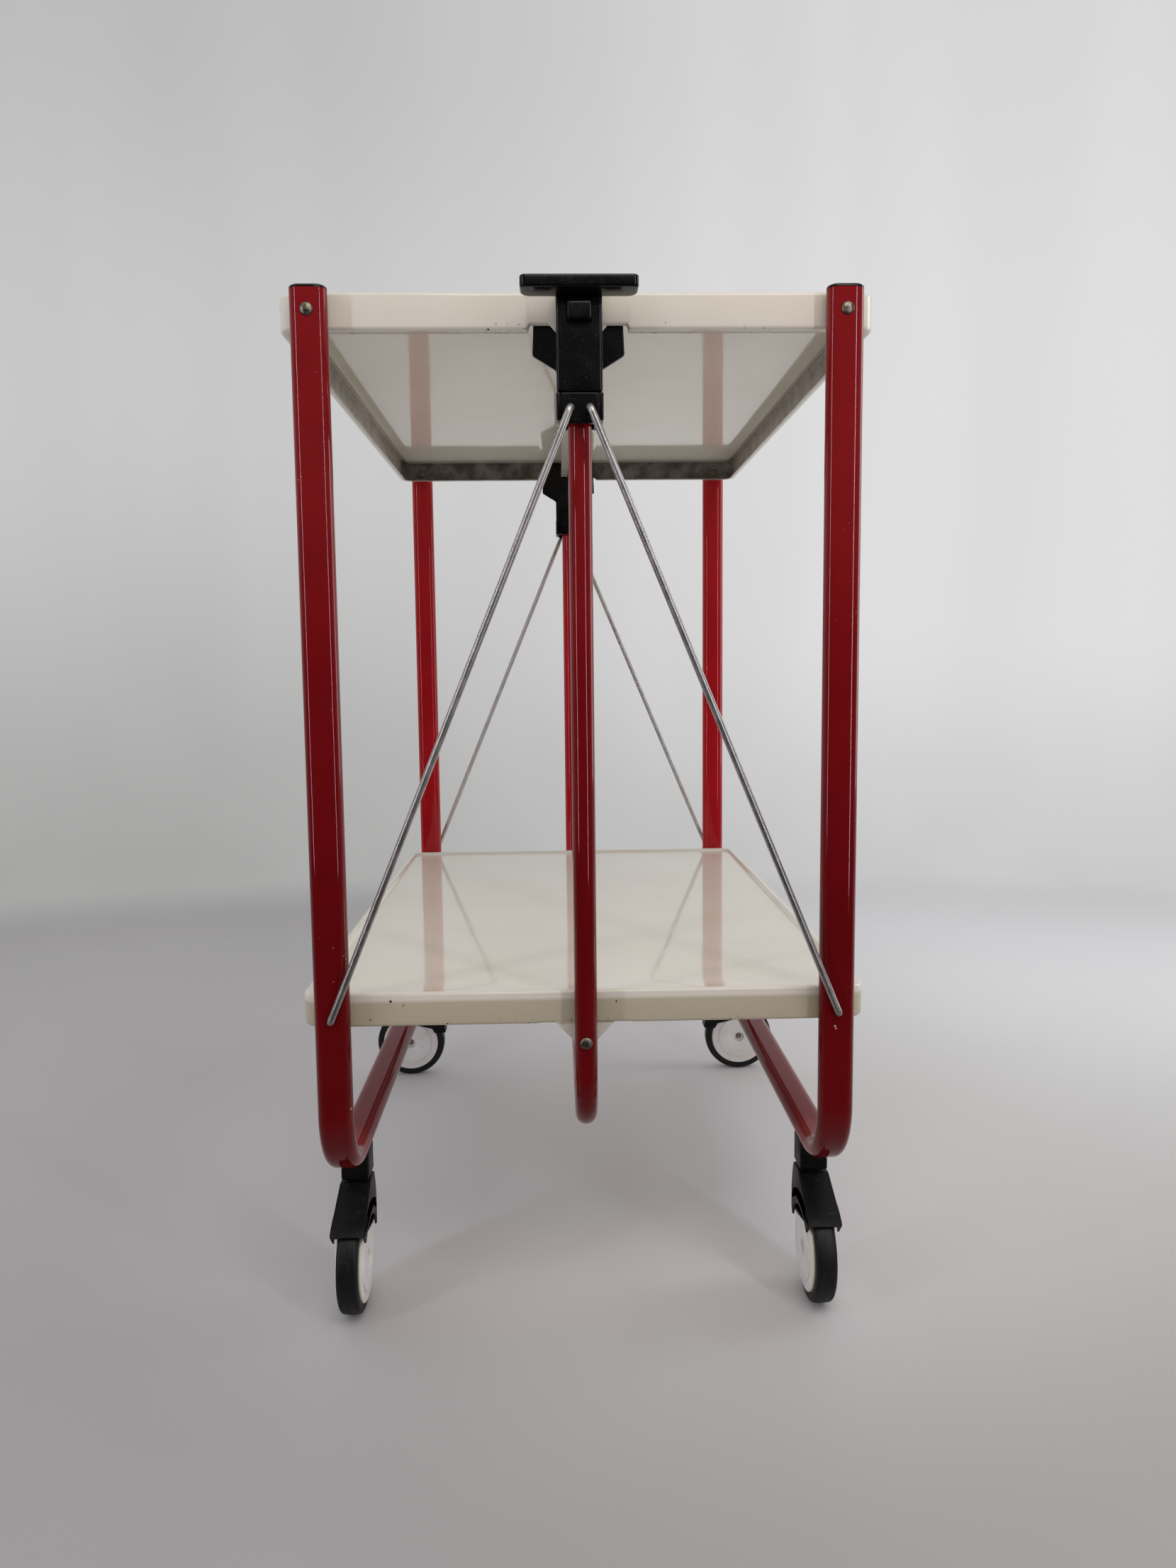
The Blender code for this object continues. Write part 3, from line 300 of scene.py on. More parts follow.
def turned(profile, centre, axis="Y", steps=48, ring=False):
    """Profile (r, l) turned round an axis: (r cos a, l, r sin a) along Y, (r cos a, r sin a, l) along Z."""
    profile = np.array(profile, float)
    a = np.linspace(0, 2 * math.pi, steps, endpoint=False)
    x, z = profile[:, :1] * np.cos(a), profile[:, :1] * np.sin(a)
    level = np.broadcast_to(profile[:, 1:], x.shape)
    grid = np.stack((x, level, z) if axis == "Y" else (x, z, level), -1)
    return skin(grid + np.array(centre, float), round_rows=ring)


def add_node(tree, kind, inputs=(), **settings):
    """Adds a node: settings are its options, and inputs its socket values or the sockets that feed it."""
    node = tree.nodes.new("ShaderNode" + kind)
    for name, value in settings.items():
        setattr(node, name, value)
    for key, value in dict(inputs).items():
        if isinstance(value, bpy.types.NodeSocket):
            tree.links.new(value, node.inputs[key])
        else:
            node.inputs[key].default_value = value
    return node


def ramp(tree, value, low, high, start=0.0, stop=1.0, smooth=False):
    """Value that runs from start to stop while another runs from low to high, and holds on both sides."""
    inputs = {"Value": value, "From Min": low, "From Max": high, "To Min": start, "To Max": stop}
    way = "SMOOTHSTEP" if smooth else "LINEAR"
    return add_node(tree, "MapRange", inputs, interpolation_type=way).outputs[0]


def combined(tree, operation, first, second):
    """Result of a Math node on two values."""
    return add_node(tree, "Math", {0: first, 1: second}, operation=operation).outputs[0]


def mixed(tree, share, first, second):
    """Colour between two ends, which are sockets or sRGB hex codes."""
    ends = [linear(end) if isinstance(end, str) else end for end in (first, second)]
    return add_node(tree, "Mix", {0: share, 6: ends[0], 7: ends[1]}, data_type="RGBA").outputs[2]


def blurred(tree, share, gloss, rough):
    """Roughness that goes from the gloss to the rough value as the share goes from 0 to 1."""
    return add_node(tree, "Mix", {0: share, 2: gloss, 3: rough}, data_type="FLOAT").outputs[0]


def patches(tree, place, size, low, high, detail=3.0):
    """Soft-edged spots, about size mm across, where a noise runs from low to high."""
    inputs = {"Vector": place, "Scale": 1000 / size, "Detail": detail, "Roughness": 0.55}
    return ramp(tree, add_node(tree, "TexNoise", inputs).outputs[0], low, high, smooth=True)


def away(tree, place, point):
    """Distance from a point."""
    return add_node(tree, "VectorMath", {0: place, 1: point}, operation="DISTANCE").outputs["Value"]


def knocks(tree, place, mark, spots):
    """A share with single knocks added to it, each 1 within its size in mm of its place and 0 half a mm on."""
    for where, size in spots:
        spot = ramp(tree, away(tree, place, where), size / 1000, (size + 0.5) / 1000, 1.0, 0.0)
        mark = combined(tree, "MAXIMUM", mark, spot)
    return mark


def begin(name, roughness=0.4, metallic=0.0):
    """A material's tree, its shader and the object's own coordinates."""
    material = bpy.data.materials.new(name)
    material.use_nodes = True
    tree = material.node_tree
    shader = tree.nodes["Principled BSDF"]
    shader.inputs["Roughness"].default_value = roughness
    shader.inputs["Metallic"].default_value = metallic
    shader.inputs["IOR"].default_value = 1.5
    return material, tree, shader, add_node(tree, "TexCoord").outputs["Object"]


def relief(tree, shader, heights):
    """Bumps laid one on the other, from (height, depth in mm) pairs."""
    normal = None
    for height, depth in heights:
        inputs = {"Height": height, "Strength": 1.0, "Distance": depth / 1000}
        if normal is not None:
            inputs["Normal"] = normal
        normal = add_node(tree, "Bump", inputs).outputs[0]
    tree.links.new(normal, shader.inputs["Normal"])


def red_stove_enamel():
    """Stove enamel dipped and baked on steel tube: a deep glossy red that lies in faint waves, a little
    lighter and darker from place to place. It has painted shade that makes it darkest low in front, painted light
    that makes it lighter away from the front, a painted darker lilac shade and less mirror on the rails near the floor,
    and a few specks chipped down to the primer."""
    material, tree, shader, place = begin("red_stove_enamel")
    _, y, z = add_node(tree, "SeparateXYZ", {0: place}).outputs
    # Painted shade: the red is darker low down.
    base = mixed(tree, ramp(tree, z, 0.3, 0.6), "#60090d", "#790e13")
    # Painted light: the red is lighter away from the front legs.
    back = ramp(tree, y, -0.31, -0.24)
    base = mixed(tree, back, base, "#a4171d")
    # Painted shade on the rails near the floor: a darker lilac red, with less mirror.
    rail = combined(tree, "MULTIPLY", back, ramp(tree, z, 0.14, 0.18, 1.0, 0.0))
    base = mixed(tree, rail, base, "#6c0d16")
    tree.links.new(ramp(tree, rail, 0.0, 1.0, 0.36, 0.08), shader.inputs["Specular IOR Level"])
    cloud = ramp(tree, patches(tree, place, 55, 0.35, 0.65), 0.0, 1.0, 0.94, 1.06)
    base = add_node(tree, "HueSaturation", {"Value": cloud, "Color": base}).outputs[0]
    worn = patches(tree, place, 70, 0.58, 0.64)
    chip = combined(tree, "MULTIPLY", patches(tree, place, 2.2, 0.76, 0.78, 1.0), worn)
    chip = knocks(tree, place, chip, PRIMER_KNOCKS)
    tree.links.new(mixed(tree, chip, base, "#b58f85"), shader.inputs["Base Color"])
    gloss = ramp(tree, patches(tree, place, 14, 0.45, 0.75), 0.0, 1.0, 0.06, 0.12)
    tree.links.new(blurred(tree, chip, gloss, 0.55), shader.inputs["Roughness"])
    wave = patches(tree, place, 16, 0.2, 0.8, 1.0)
    peel = patches(tree, place, 2.4, 0.2, 0.8, 1.0)
    relief(tree, shader, ((wave, 0.022), (peel, 0.003), (chip, -0.1)))
    return material


def cream_stove_enamel():
    """Stove enamel on pressed sheet: a warm glossy cream, greyed by dust, rust and painted shade inside the skirts,
    with dark chips and brown rust where its lower edges have been knocked. The dust and painted shade are darkest
    at the back and in the lower tray, whose skirt is also painted yellower and darker, part yellowing and part painted
    shade."""
    material, tree, shader, place = begin("cream_stove_enamel")
    base = mixed(tree, patches(tree, place, 90, 0.35, 0.65), "#d5cebe", "#d7d1c2")
    shade = add_node(tree, "Attribute", attribute_name="shade").outputs["Fac"]
    patchiness = ramp(tree, patches(tree, place, 22, 0.3, 0.7), 0.0, 1.0, 0.75, 1.0)
    # Dust and painted shade: the marks inside the skirts and under the hems grey the cream, in patches.
    dust_and_shade = combined(tree, "MULTIPLY", shade, patchiness)
    _, along, height = add_node(tree, "SeparateXYZ", {0: place}).outputs
    # Painted shade with dirt: far darker inside the back skirt and in the lower tray.
    low = combined(tree, "LESS_THAN", height, TRAY_SPACING)
    dark = combined(tree, "MAXIMUM", low, ramp(tree, along, 0.296, 0.303))
    base = mixed(tree, dust_and_shade, base, mixed(tree, dark, "#938a7d", "#4f463c"))
    inner_rust = combined(tree, "MULTIPLY", patches(tree, place, 5, 0.6, 0.68, 2.0), dust_and_shade)
    base = mixed(tree, inner_rust, base, "#6a4d33")
    above = combined(tree, "SUBTRACT", height, TRAY_TOP - TRAY_SPACING - SKIRT_DEPTH)
    above = combined(tree, "FLOORED_MODULO", above, TRAY_SPACING)
    # Part yellowing, part painted shade: the lower tray's skirt is painted yellower and darker.
    yellowed_and_shaded = combined(tree, "MULTIPLY", low, ramp(tree, above, 0.0165, 0.0200, 0.75, 0.0, smooth=True))
    base = mixed(tree, yellowed_and_shaded, base, "#a99d80")
    foot = ramp(tree, above, 0.0, 0.007, 1.0, 0.0, smooth=True)
    knocked = combined(tree, "MULTIPLY", patches(tree, place, 50, 0.5, 0.62), foot)
    chip = combined(tree, "MULTIPLY", patches(tree, place, 3.0, 0.68, 0.70, 1.5), knocked)
    rust = combined(tree, "MULTIPLY", patches(tree, place, 3.0, 0.62, 0.7, 1.5), knocked)
    rust, chip = knocks(tree, place, rust, RUST_KNOCKS), knocks(tree, place, chip, DARK_KNOCKS)
    base = mixed(tree, chip, mixed(tree, rust, base, "#8f6f4a"), "#2c221b")
    tree.links.new(base, shader.inputs["Base Color"])
    gloss = ramp(tree, patches(tree, place, 18, 0.4, 0.75), 0.0, 1.0, 0.05, 0.11)
    tree.links.new(blurred(tree, dust_and_shade, gloss, 0.45), shader.inputs["Roughness"])
    wave = patches(tree, place, 70, 0.2, 0.8, 0.0)
    peel = patches(tree, place, 2.6, 0.2, 0.8, 1.0)
    relief(tree, shader, ((wave, 0.08), (peel, 0.002), (chip, -0.12)))
    return material


def moulded_black(name, smooth, dull, mirror):
    """Black plastic moulded in one piece: its roughness goes from smooth to dull in soft waves, with grey rub
    marks and a little dust. The mirror is its specular level."""
    material, tree, shader, place = begin(name)
    shader.inputs["Specular IOR Level"].default_value = mirror
    tone = patches(tree, place, 16, 0.4, 0.7)
    stretch = {"Vector": place, "Rotation": (0.3, 0.5, 0.2), "Scale": (1.0, 1.0, 14.0)}
    scratch = patches(tree, add_node(tree, "Mapping", stretch).outputs[0], 9, 0.71, 0.75, 1.0)
    marks = combined(tree, "MAXIMUM", scratch, patches(tree, place, 1.3, 0.72, 0.76, 1.0))
    base = mixed(tree, marks, mixed(tree, tone, "#080808", "#0e0e0f"), "#323131")
    tree.links.new(base, shader.inputs["Base Color"])
    tree.links.new(ramp(tree, tone, 0.0, 1.0, smooth, dull), shader.inputs["Roughness"])
    # The real grain is about 0.3 mm; it is drawn at 0.7 mm to show
    grain, wave = patches(tree, place, 0.7, 0.3, 0.7, 1.0), patches(tree, place, 12, 0.2, 0.8, 0.0)
    relief(tree, shader, ((grain, 0.002), (wave, 0.05)))
    return material


def zinc_plated_steel():
    """Drawn steel with bright zinc plating gone dull: smooth grey metal with a faint cloudy bloom."""
    material, tree, shader, place = begin("zinc_plated_steel", 0.3, 1.0)
    tone = patches(tree, place, 9, 0.35, 0.65)
    tree.links.new(mixed(tree, tone, "#bab8b2", "#c8c6c1"), shader.inputs["Base Color"])
    tree.links.new(ramp(tree, tone, 0.0, 1.0, 0.36, 0.44), shader.inputs["Roughness"])
    return material


def tarnished_steel():
    """Turned and riveted steel pins gone dull with age: a dark grey brown metal, rough in patches."""
    material, tree, shader, place = begin("tarnished_steel", 0.35, 1.0)
    tone = patches(tree, place, 3, 0.35, 0.65)
    tree.links.new(mixed(tree, tone, "#6f6a5e", "#97917f"), shader.inputs["Base Color"])
    tree.links.new(ramp(tree, tone, 0.0, 1.0, 0.3, 0.5), shader.inputs["Roughness"])
    relief(tree, shader, ((patches(tree, place, 1.0, 0.3, 0.7, 1.0), 0.012),))
    return material


def tyre_rubber():
    """Moulded black rubber: matt, scuffed grey in patches."""
    material, tree, shader, place = begin("tyre_rubber", 0.6)
    shader.inputs["Specular IOR Level"].default_value = 0.35
    scuff = patches(tree, place, 5, 0.45, 0.75)
    tree.links.new(mixed(tree, scuff, "#0a0a0b", "#141312"), shader.inputs["Base Color"])
    tree.links.new(ramp(tree, scuff, 0.0, 1.0, 0.45, 0.7), shader.inputs["Roughness"])
    relief(tree, shader, ((patches(tree, place, 0.8, 0.3, 0.7, 2.0), 0.015),))
    return material


def ivory_nylon():
    """Moulded nylon wheel discs: off-white with a soft gloss, slightly see-through, grimy in spots and
    yellowed round the side of the rim."""
    material, tree, shader, place = begin("ivory_nylon", 0.35)
    base = mixed(tree, patches(tree, place, 20, 0.35, 0.65), "#dcd8d0", "#e4e1dc")
    rim = add_node(tree, "Attribute", attribute_name="shade").outputs["Fac"]
    base = mixed(tree, rim, base, "#c9bf9f")
    grime = patches(tree, place, 4, 0.64, 0.82)
    tree.links.new(mixed(tree, grime, base, "#8a816d"), shader.inputs["Base Color"])
    tree.links.new(ramp(tree, grime, 0.0, 1.0, 0.3, 0.55), shader.inputs["Roughness"])
    shader.inputs["Subsurface Weight"].default_value = 0.12
    shader.inputs["Subsurface Scale"].default_value = 0.002
    relief(tree, shader, ((patches(tree, place, 6, 0.2, 0.8, 1.0), 0.02),))
    return material


RED = red_stove_enamel()
CREAM = cream_stove_enamel()
BLACK = moulded_black("moulded_abs", 0.16, 0.26, 0.3)
SATIN = moulded_black("moulded_polypropylene", 0.42, 0.56, 0.2)
ZINC = zinc_plated_steel()
PIN = tarnished_steel()
RUBBER = tyre_rubber()
IVORY = ivory_nylon()


def side_frame(name, side):
    """Flat oval tube carried down one leg, along the rail and up the other."""
    x = side * PIVOT_X
    corners = [(x, -LEG_Y, LEG_TOP), (x, -LEG_Y, RAIL_HEIGHT), (x, LEG_Y, RAIL_HEIGHT), (x, LEG_Y, LEG_TOP)]
    tube = carried(bent(corners, LEG_BEND, 32), flat_oval(LEG_WIDTH, LEG_DEPTH))
    piece(name, RED, [skin(tube)])


def centre_frame():
    """Round tube carried down one upright, under the lower tray and up the other."""
    corners = [(0, -TUBE_Y, TUBE_TOP), (0, -TUBE_Y, CENTRE_RAIL), (0, TUBE_Y, CENTRE_RAIL), (0, TUBE_Y, TUBE_TOP)]
    tube = carried(bent(corners, TUBE_BEND, 32), arc((0, 0), TUBE_RADIUS, 0, 360, 40)[:-1])
    piece("centre_frame", RED, [skin(tube)])


def leg_cap(name, x, y):
    """Domed cap: the tube's outline, inset by 3.8 (1 - cos a)^1.2 mm while it rises by 0.3 + 2.4 sin a mm."""
    a = np.linspace(0, math.pi / 2, 9)
    outline = flat_oval(LEG_WIDTH, LEG_DEPTH)
    rings = [inset(outline, 0.0004)] + [inset(outline, 0.0038 * (1 - math.cos(t)) ** 1.2) for t in a]
    levels = [LEG_TOP] + [LEG_TOP + 0.0003 + 0.0024 * math.sin(t) for t in a]
    grid = np.stack([np.column_stack([ring + (x, y), np.full(len(ring), z)]) for ring, z in zip(rings, levels)])
    piece(name, BLACK, [skin(grid)])


def rivet(name, x, height, end, head_y, tail_y):
    """Head r = 4.3 cos a, l = 1.8 sin a in mm, shank, and a peened tail with rounded edges."""
    a = np.radians(np.linspace(86, 0, 10))
    head = [(0.0043 * math.cos(t), head_y + 0.0003 + 0.0018 * math.sin(t)) for t in a]
    back = tail_y - 0.0015
    tail = [(0.003, head_y), (0.003, tail_y), (0.0037, tail_y), (0.004, tail_y - 0.0004)]
    tail += [(0.004, back + 0.0006), (0.0036, back + 0.0002), (0.0028, back)]
    profile = [(r, end * level) for r, level in head + tail]
    piece(name, PIN, [turned(profile, (x, 0, height), steps=32)])


def tray_stations(side, step):
    """Places round half a tray from seam to seam, as rows of x, y, outward x and y, skirt depth and hem width.
    The skirt is shallower by the step, and without its hem, within 33 mm of the seam."""
    along = np.array([HALF_SEAM, 0.012, 0.024, 0.0325, 0.033, 0.0335, 0.034, 0.0345, 0.036, 0.06, 0.1, 0.14, 0.17])
    rise = np.clip((along - 0.0325) / 0.002, 0, 1)
    rise = rise * rise * (3 - 2 * rise)
    front = np.column_stack([-along, np.full_like(along, -HALF_LENGTH), 0 * along, 0 * along - 1,
                             SKIRT_DEPTH - step * (1 - rise), HEM_WIDTH * rise])
    turn = np.radians(np.linspace(270, 180, 17))
    out = np.stack([np.cos(turn), np.sin(turn)], -1)
    middle = np.array([-HALF_WIDTH + CORNER_RADIUS, -HALF_LENGTH + CORNER_RADIUS])
    hem = np.linspace(HEM_WIDTH, CORNER_HEM_WIDTH, 17)
    corner = np.column_stack([middle + CORNER_RADIUS * out, out, np.full(17, SKIRT_DEPTH), hem])
    edge = corner[-1] + np.linspace(0, 1, 5)[1:, None] * np.array([0, HALF_LENGTH - CORNER_RADIUS, 0, 0, 0, 0])
    first = np.concatenate([front, corner, edge])
    second = first[:-1][::-1] * np.array([1, -1, 1, -1, 1, 1])
    return np.concatenate([first, second]) * np.array([-side, 1, -side, 1, 1, 1])


def rim_section(depth, hem):
    """Inset and drop round the sheet's section: hem, fold, skirt, rounded rim, S-shaped step to the floor,
    and back along the inside."""
    fold, small, tight = SKIRT_FOLD, RIM_ROUND - SHEET, SKIRT_FOLD - SHEET
    quarter = np.radians(np.linspace(0, 90, 6))
    s, c = np.sin(quarter), np.cos(quarter)
    ease = np.linspace(0, 1, 8)
    step = ease * ease * (3 - 2 * ease)
    slope = RIM_SHOULDER + (RIM_WIDTH - RIM_SHOULDER) * ease
    outer = [np.array([[fold + hem, depth]])]
    outer += [np.column_stack([fold - fold * s, depth - fold + fold * c])]
    outer += [np.column_stack([RIM_ROUND * (1 - c), RIM_ROUND * (1 - s)])]
    outer += [np.column_stack([slope, FLOOR_DROP * step])]
    inner = [np.column_stack([slope, SHEET + FLOOR_DROP * step])[::-1]]
    inner += [np.column_stack([RIM_ROUND - small * c, RIM_ROUND - small * s])[::-1]]
    inner += [np.column_stack([fold - tight * s, depth - fold + tight * c])[::-1]]
    inner += [np.array([[fold + hem, depth - SHEET]])]
    return np.concatenate(outer), np.concatenate(inner)


def pressed_half(side, top, step):
    """Rim: station - outward inset, top - drop. Floor: lines between front and back stations, sunk by
    0.3 sin(pi s) sin(pi t) mm. The marks are 1 inside the skirt and under its hem, where they lay dust and painted
    shade."""
    stations = tray_stations(side, step)
    sections = [rim_section(depth, hem) for depth, hem in stations[:, 4:]]
    section = np.array([np.concatenate(pair) for pair in sections])
    split = len(sections[0][0])
    flat = stations[:, None, :2] - stations[:, None, 2:4] * section[..., :1]
    grid = np.concatenate([flat, top - section[..., 1:]], -1)
    rows, columns = grid.shape[:2]
    faces = [f for f in grid_faces(rows, columns) if {f[0] % columns, f[3] % columns} != {split - 1, split}]
    faces += [list(range(columns)), list(range((rows - 1) * columns, rows * columns))]
    shells = [(grid.reshape(-1, 3), faces)]
    lines = 25
    t = np.linspace(0, 1, lines)
    half = rows // 2 + 1
    s = np.linspace(0, 1, half)[:, None]
    for column in (split - 1, split):
        near, far = grid[:half, column], grid[::-1][:half, column]
        floor = near[:, None] * (1 - t)[None, :, None] + far[:, None] * t[None, :, None]
        floor[..., 2] -= 0.0003 * np.sin(math.pi * s) * np.sin(math.pi * t)
        shells.append((floor.reshape(-1, 3), grid_faces(half, lines, False, False)))
    # The sheet's edge along the seam joins the upper floor to the lower
    strip = np.concatenate([floor_points[:lines] for floor_points, _ in shells[1:]])
    shells.append((strip, grid_faces(2, lines, False, False)))
    inside = np.zeros((rows, columns))
    inside[:, 0] = inside[:, split + 8:] = 1
    marks = np.concatenate([inside.ravel(), np.zeros(sum(len(points) for points, _ in shells[1:]))])
    return shells, marks


def tray_half(name, side, top, step, root, eye_radius):
    """Pressed sheet with its seam flange, and a hinge lug with a round eye at both ends."""
    shells, marks = pressed_half(side, top, step)
    near, foot, floor = HALF_SEAM + FLANGE_GAP, top - SKIRT_DEPTH + step, top - FLOOR_DROP - SHEET
    far = near + FLANGE_WIDTH
    flange = [(near, floor, 0), (near, foot, 0.0012), (far, foot, 0.0004), (far, foot + SHEET, 0.0004)]
    flange = rounded(flange + [(near + SHEET, foot + SHEET, 0.0002), (near + SHEET, floor, 0)]) * (side, 1)
    parts = [slab(flange, "Y", -FLANGE_END_Y, FLANGE_END_Y, 0.0003, 0.0003)]
    pin = top - PIN_DROP
    eye = arc((0, pin), eye_radius, 215, 450, 24)
    lug = np.concatenate([[(-root, foot + 0.003)], eye, [(-HALF_SEAM, foot + 0.003)]]) * (-side, 1)
    plane = (0.3118, 0.3108) if side < 0 else (0.3104, 0.3092)
    for _, end in ENDS:
        parts.append(slab(lug, "Y", end * plane[0], end * plane[1], 0.0003, 0.0003, 2))
    # The flange and lugs get a little dust and painted shade.
    dust_and_shade_share = 0.15
    marks = np.concatenate([marks, np.full(sum(len(points) for points, _ in parts), dust_and_shade_share)])
    piece(name, CREAM, shells + parts, marks)


def latch_housing(name, end):
    """Block round the upright's top: a rounded plan carried up, notched in its upper part for the trigger and
    its tail."""
    half, slot, face, back = HOUSING_HALF_WIDTH, SLOT_HALF_WIDTH, HOUSING_FACE_Y, HOUSING_BACK_Y
    levels = (HOUSING_BOTTOM, 0.7124, 0.7199, HOUSING_TOP)
    body = rounded([(-half, back, 0.001), (half, back, 0.001), (half, face, 0.0022), (-half, face, 0.0022)]) * (1, end)
    shells = [slab(body, "Z", levels[0], levels[1], 0.0012, 0)]
    for seat, low, high, edge in ((0.3315, levels[1], levels[2], 0), (0.3245, levels[2], levels[3], 0.0004)):
        right = [(half, back, 0.001), (half, face, 0.0022), (slot, face, 0.0004), (slot, seat, 0)]
        left = [(-x, y, r) for x, y, r in reversed(right)]
        fork = rounded(left[-1:] + right + left[:-1]) * (1, end)
        shells.append(slab(fork, "Z", low, high, 0, edge))
    piece(name, BLACK, shells)


def handle_bar(name, end):
    """T handle: a bar with rounded ends across the front and a tongue back over the housing."""
    half, face, back, root = HANDLE_HALF_WIDTH, HANDLE_FACE_Y, TRIGGER_SEAT_Y, HOUSING_HALF_WIDTH
    right = [(half, face, 0.0036), (half, back, 0.007), (root, back, 0.0015), (root, HOUSING_BACK_Y, 0.001)]
    outline = rounded(right + [(-x, y, r) for x, y, r in reversed(right)], 8) * (1, end)
    piece(name, BLACK, [slab(outline, "Z", HANDLE_BOTTOM, HANDLE_TOP, 0.0017, 0.0015, 6)])


def trigger(name, end):
    """Finger trigger: an upright pad that slopes back to the handle, with a tail, carried across."""
    top, tail, bottom, face, outer = 0.7297, 0.7202, 0.7127, HOUSING_FACE_Y, 0.3445
    outline = [(TRIGGER_SEAT_Y, tail, 0), (face, tail, 0), (face, bottom, 0.0006), (outer, bottom, 0.0014)]
    outline += [(outer, top - 0.006, 0.0028), (face, top, 0.0006), (TRIGGER_SEAT_Y, top, 0)]
    pad = slab(rounded(outline) * (end, 1), "X", -TRIGGER_HALF_WIDTH, TRIGGER_HALF_WIDTH, 0.0009, 0.0009)
    piece(name, BLACK, [pad])


def slider_shoe(name, end):
    """Collar with a hanging front plate and proud cheeks, and the winged plate behind the skirt on two lugs."""
    low, high, half, back = SHOE_BOTTOM, SHOE_TOP, SHOE_HALF_WIDTH, HOUSING_BACK_Y
    plate = [(-half, high, 0.0008), (-half, low, 0), (-0.0115, low, 0), (-0.0097, low - 0.0018, 0.0008)]
    plate = rounded(plate + [(-x, z, r) for x, z, r in reversed(plate)])
    block = rounded([(-half, low + 0.006, 0), (half, low + 0.006, 0), (half, high, 0), (-half, high, 0)])
    parts = [slab(plate, "Y", end * 0.3362, end * 0.3332, 0.0008, 0.0003)]
    parts.append(slab(block, "Y", end * 0.3340, end * back, 0, 0.0004))
    for _, side in SIDES:
        cheek = [(0.0124, low, 0.0006), (CHEEK_HALF_WIDTH, low, 0.0012)]
        cheek = rounded(cheek + [(CHEEK_HALF_WIDTH, high, 0.0012), (0.0124, high, 0.0006)])
        parts.append(slab(cheek * (side, 1), "Y", end * HOUSING_FACE_Y, end * back, 0.001, 0.0004))
        lug = rounded([(0.01, low + 0.0003, 0), (0.0146, low + 0.0003, 0), (0.0146, high, 0), (0.01, high, 0)])
        parts.append(slab(lug * (side, 1), "Y", end * 0.313, end * 0.305, 0, 0))
    wing = [(-0.0297, 0.7352, 0.001), (-0.0313, 0.6995, 0.0025), (-0.01495, 0.6895, 0.004), (-0.01495, low, 0.001)]
    wing = rounded(wing + [(-x, z, r) for x, z, r in reversed(wing)])
    parts.append(slab(wing, "Y", end * 0.3071, end * 0.3031, 0.0008, 0.0008))
    piece(name, BLACK, parts)


def stay_wire(name, side, end):
    """Round wire carried from its hook in the shoe to the leg and through the skirt, with a rounded head inside."""
    hook, x, height = side * 0.0063, side * PIVOT_X, TRAY_TOP - TRAY_SPACING - PIVOT_DROP
    corners = [(hook, end * 0.3364, WIRE_TOP), (hook, end * 0.3443, WIRE_TOP), (x, end * 0.3303, height)]
    corners += [(x, end * 0.3095, height)]
    wire = skin(carried(bent(corners, (0.0045, 0.0035), 12), arc((0, 0), WIRE_RADIUS, 0, 360, 24)[:-1]))
    inner = SKIRT_INSIDE_Y
    head = [(0.0022, inner), (0.0036, inner), (0.004, inner - 0.0004), (0.004, inner - 0.001)]
    head += [(0.0035, inner - 0.0015), (0.002, inner - 0.0017)]
    piece(name, ZINC, [wire, turned([(r, end * y) for r, y in head], (x, 0, height), steps=32)])


def stood(shells, x, y, turn):
    """Skins drawn about a caster's own stem, turned and moved to its place: (x c - y s, x s + y c) + place."""
    c, s = round(math.cos(turn)), round(math.sin(turn))
    matrix = np.array([[c, s, 0], [-s, c, 0], [0, 0, 1]], float)
    return [(points @ matrix + (x, y, 0), faces) for points, faces in shells]


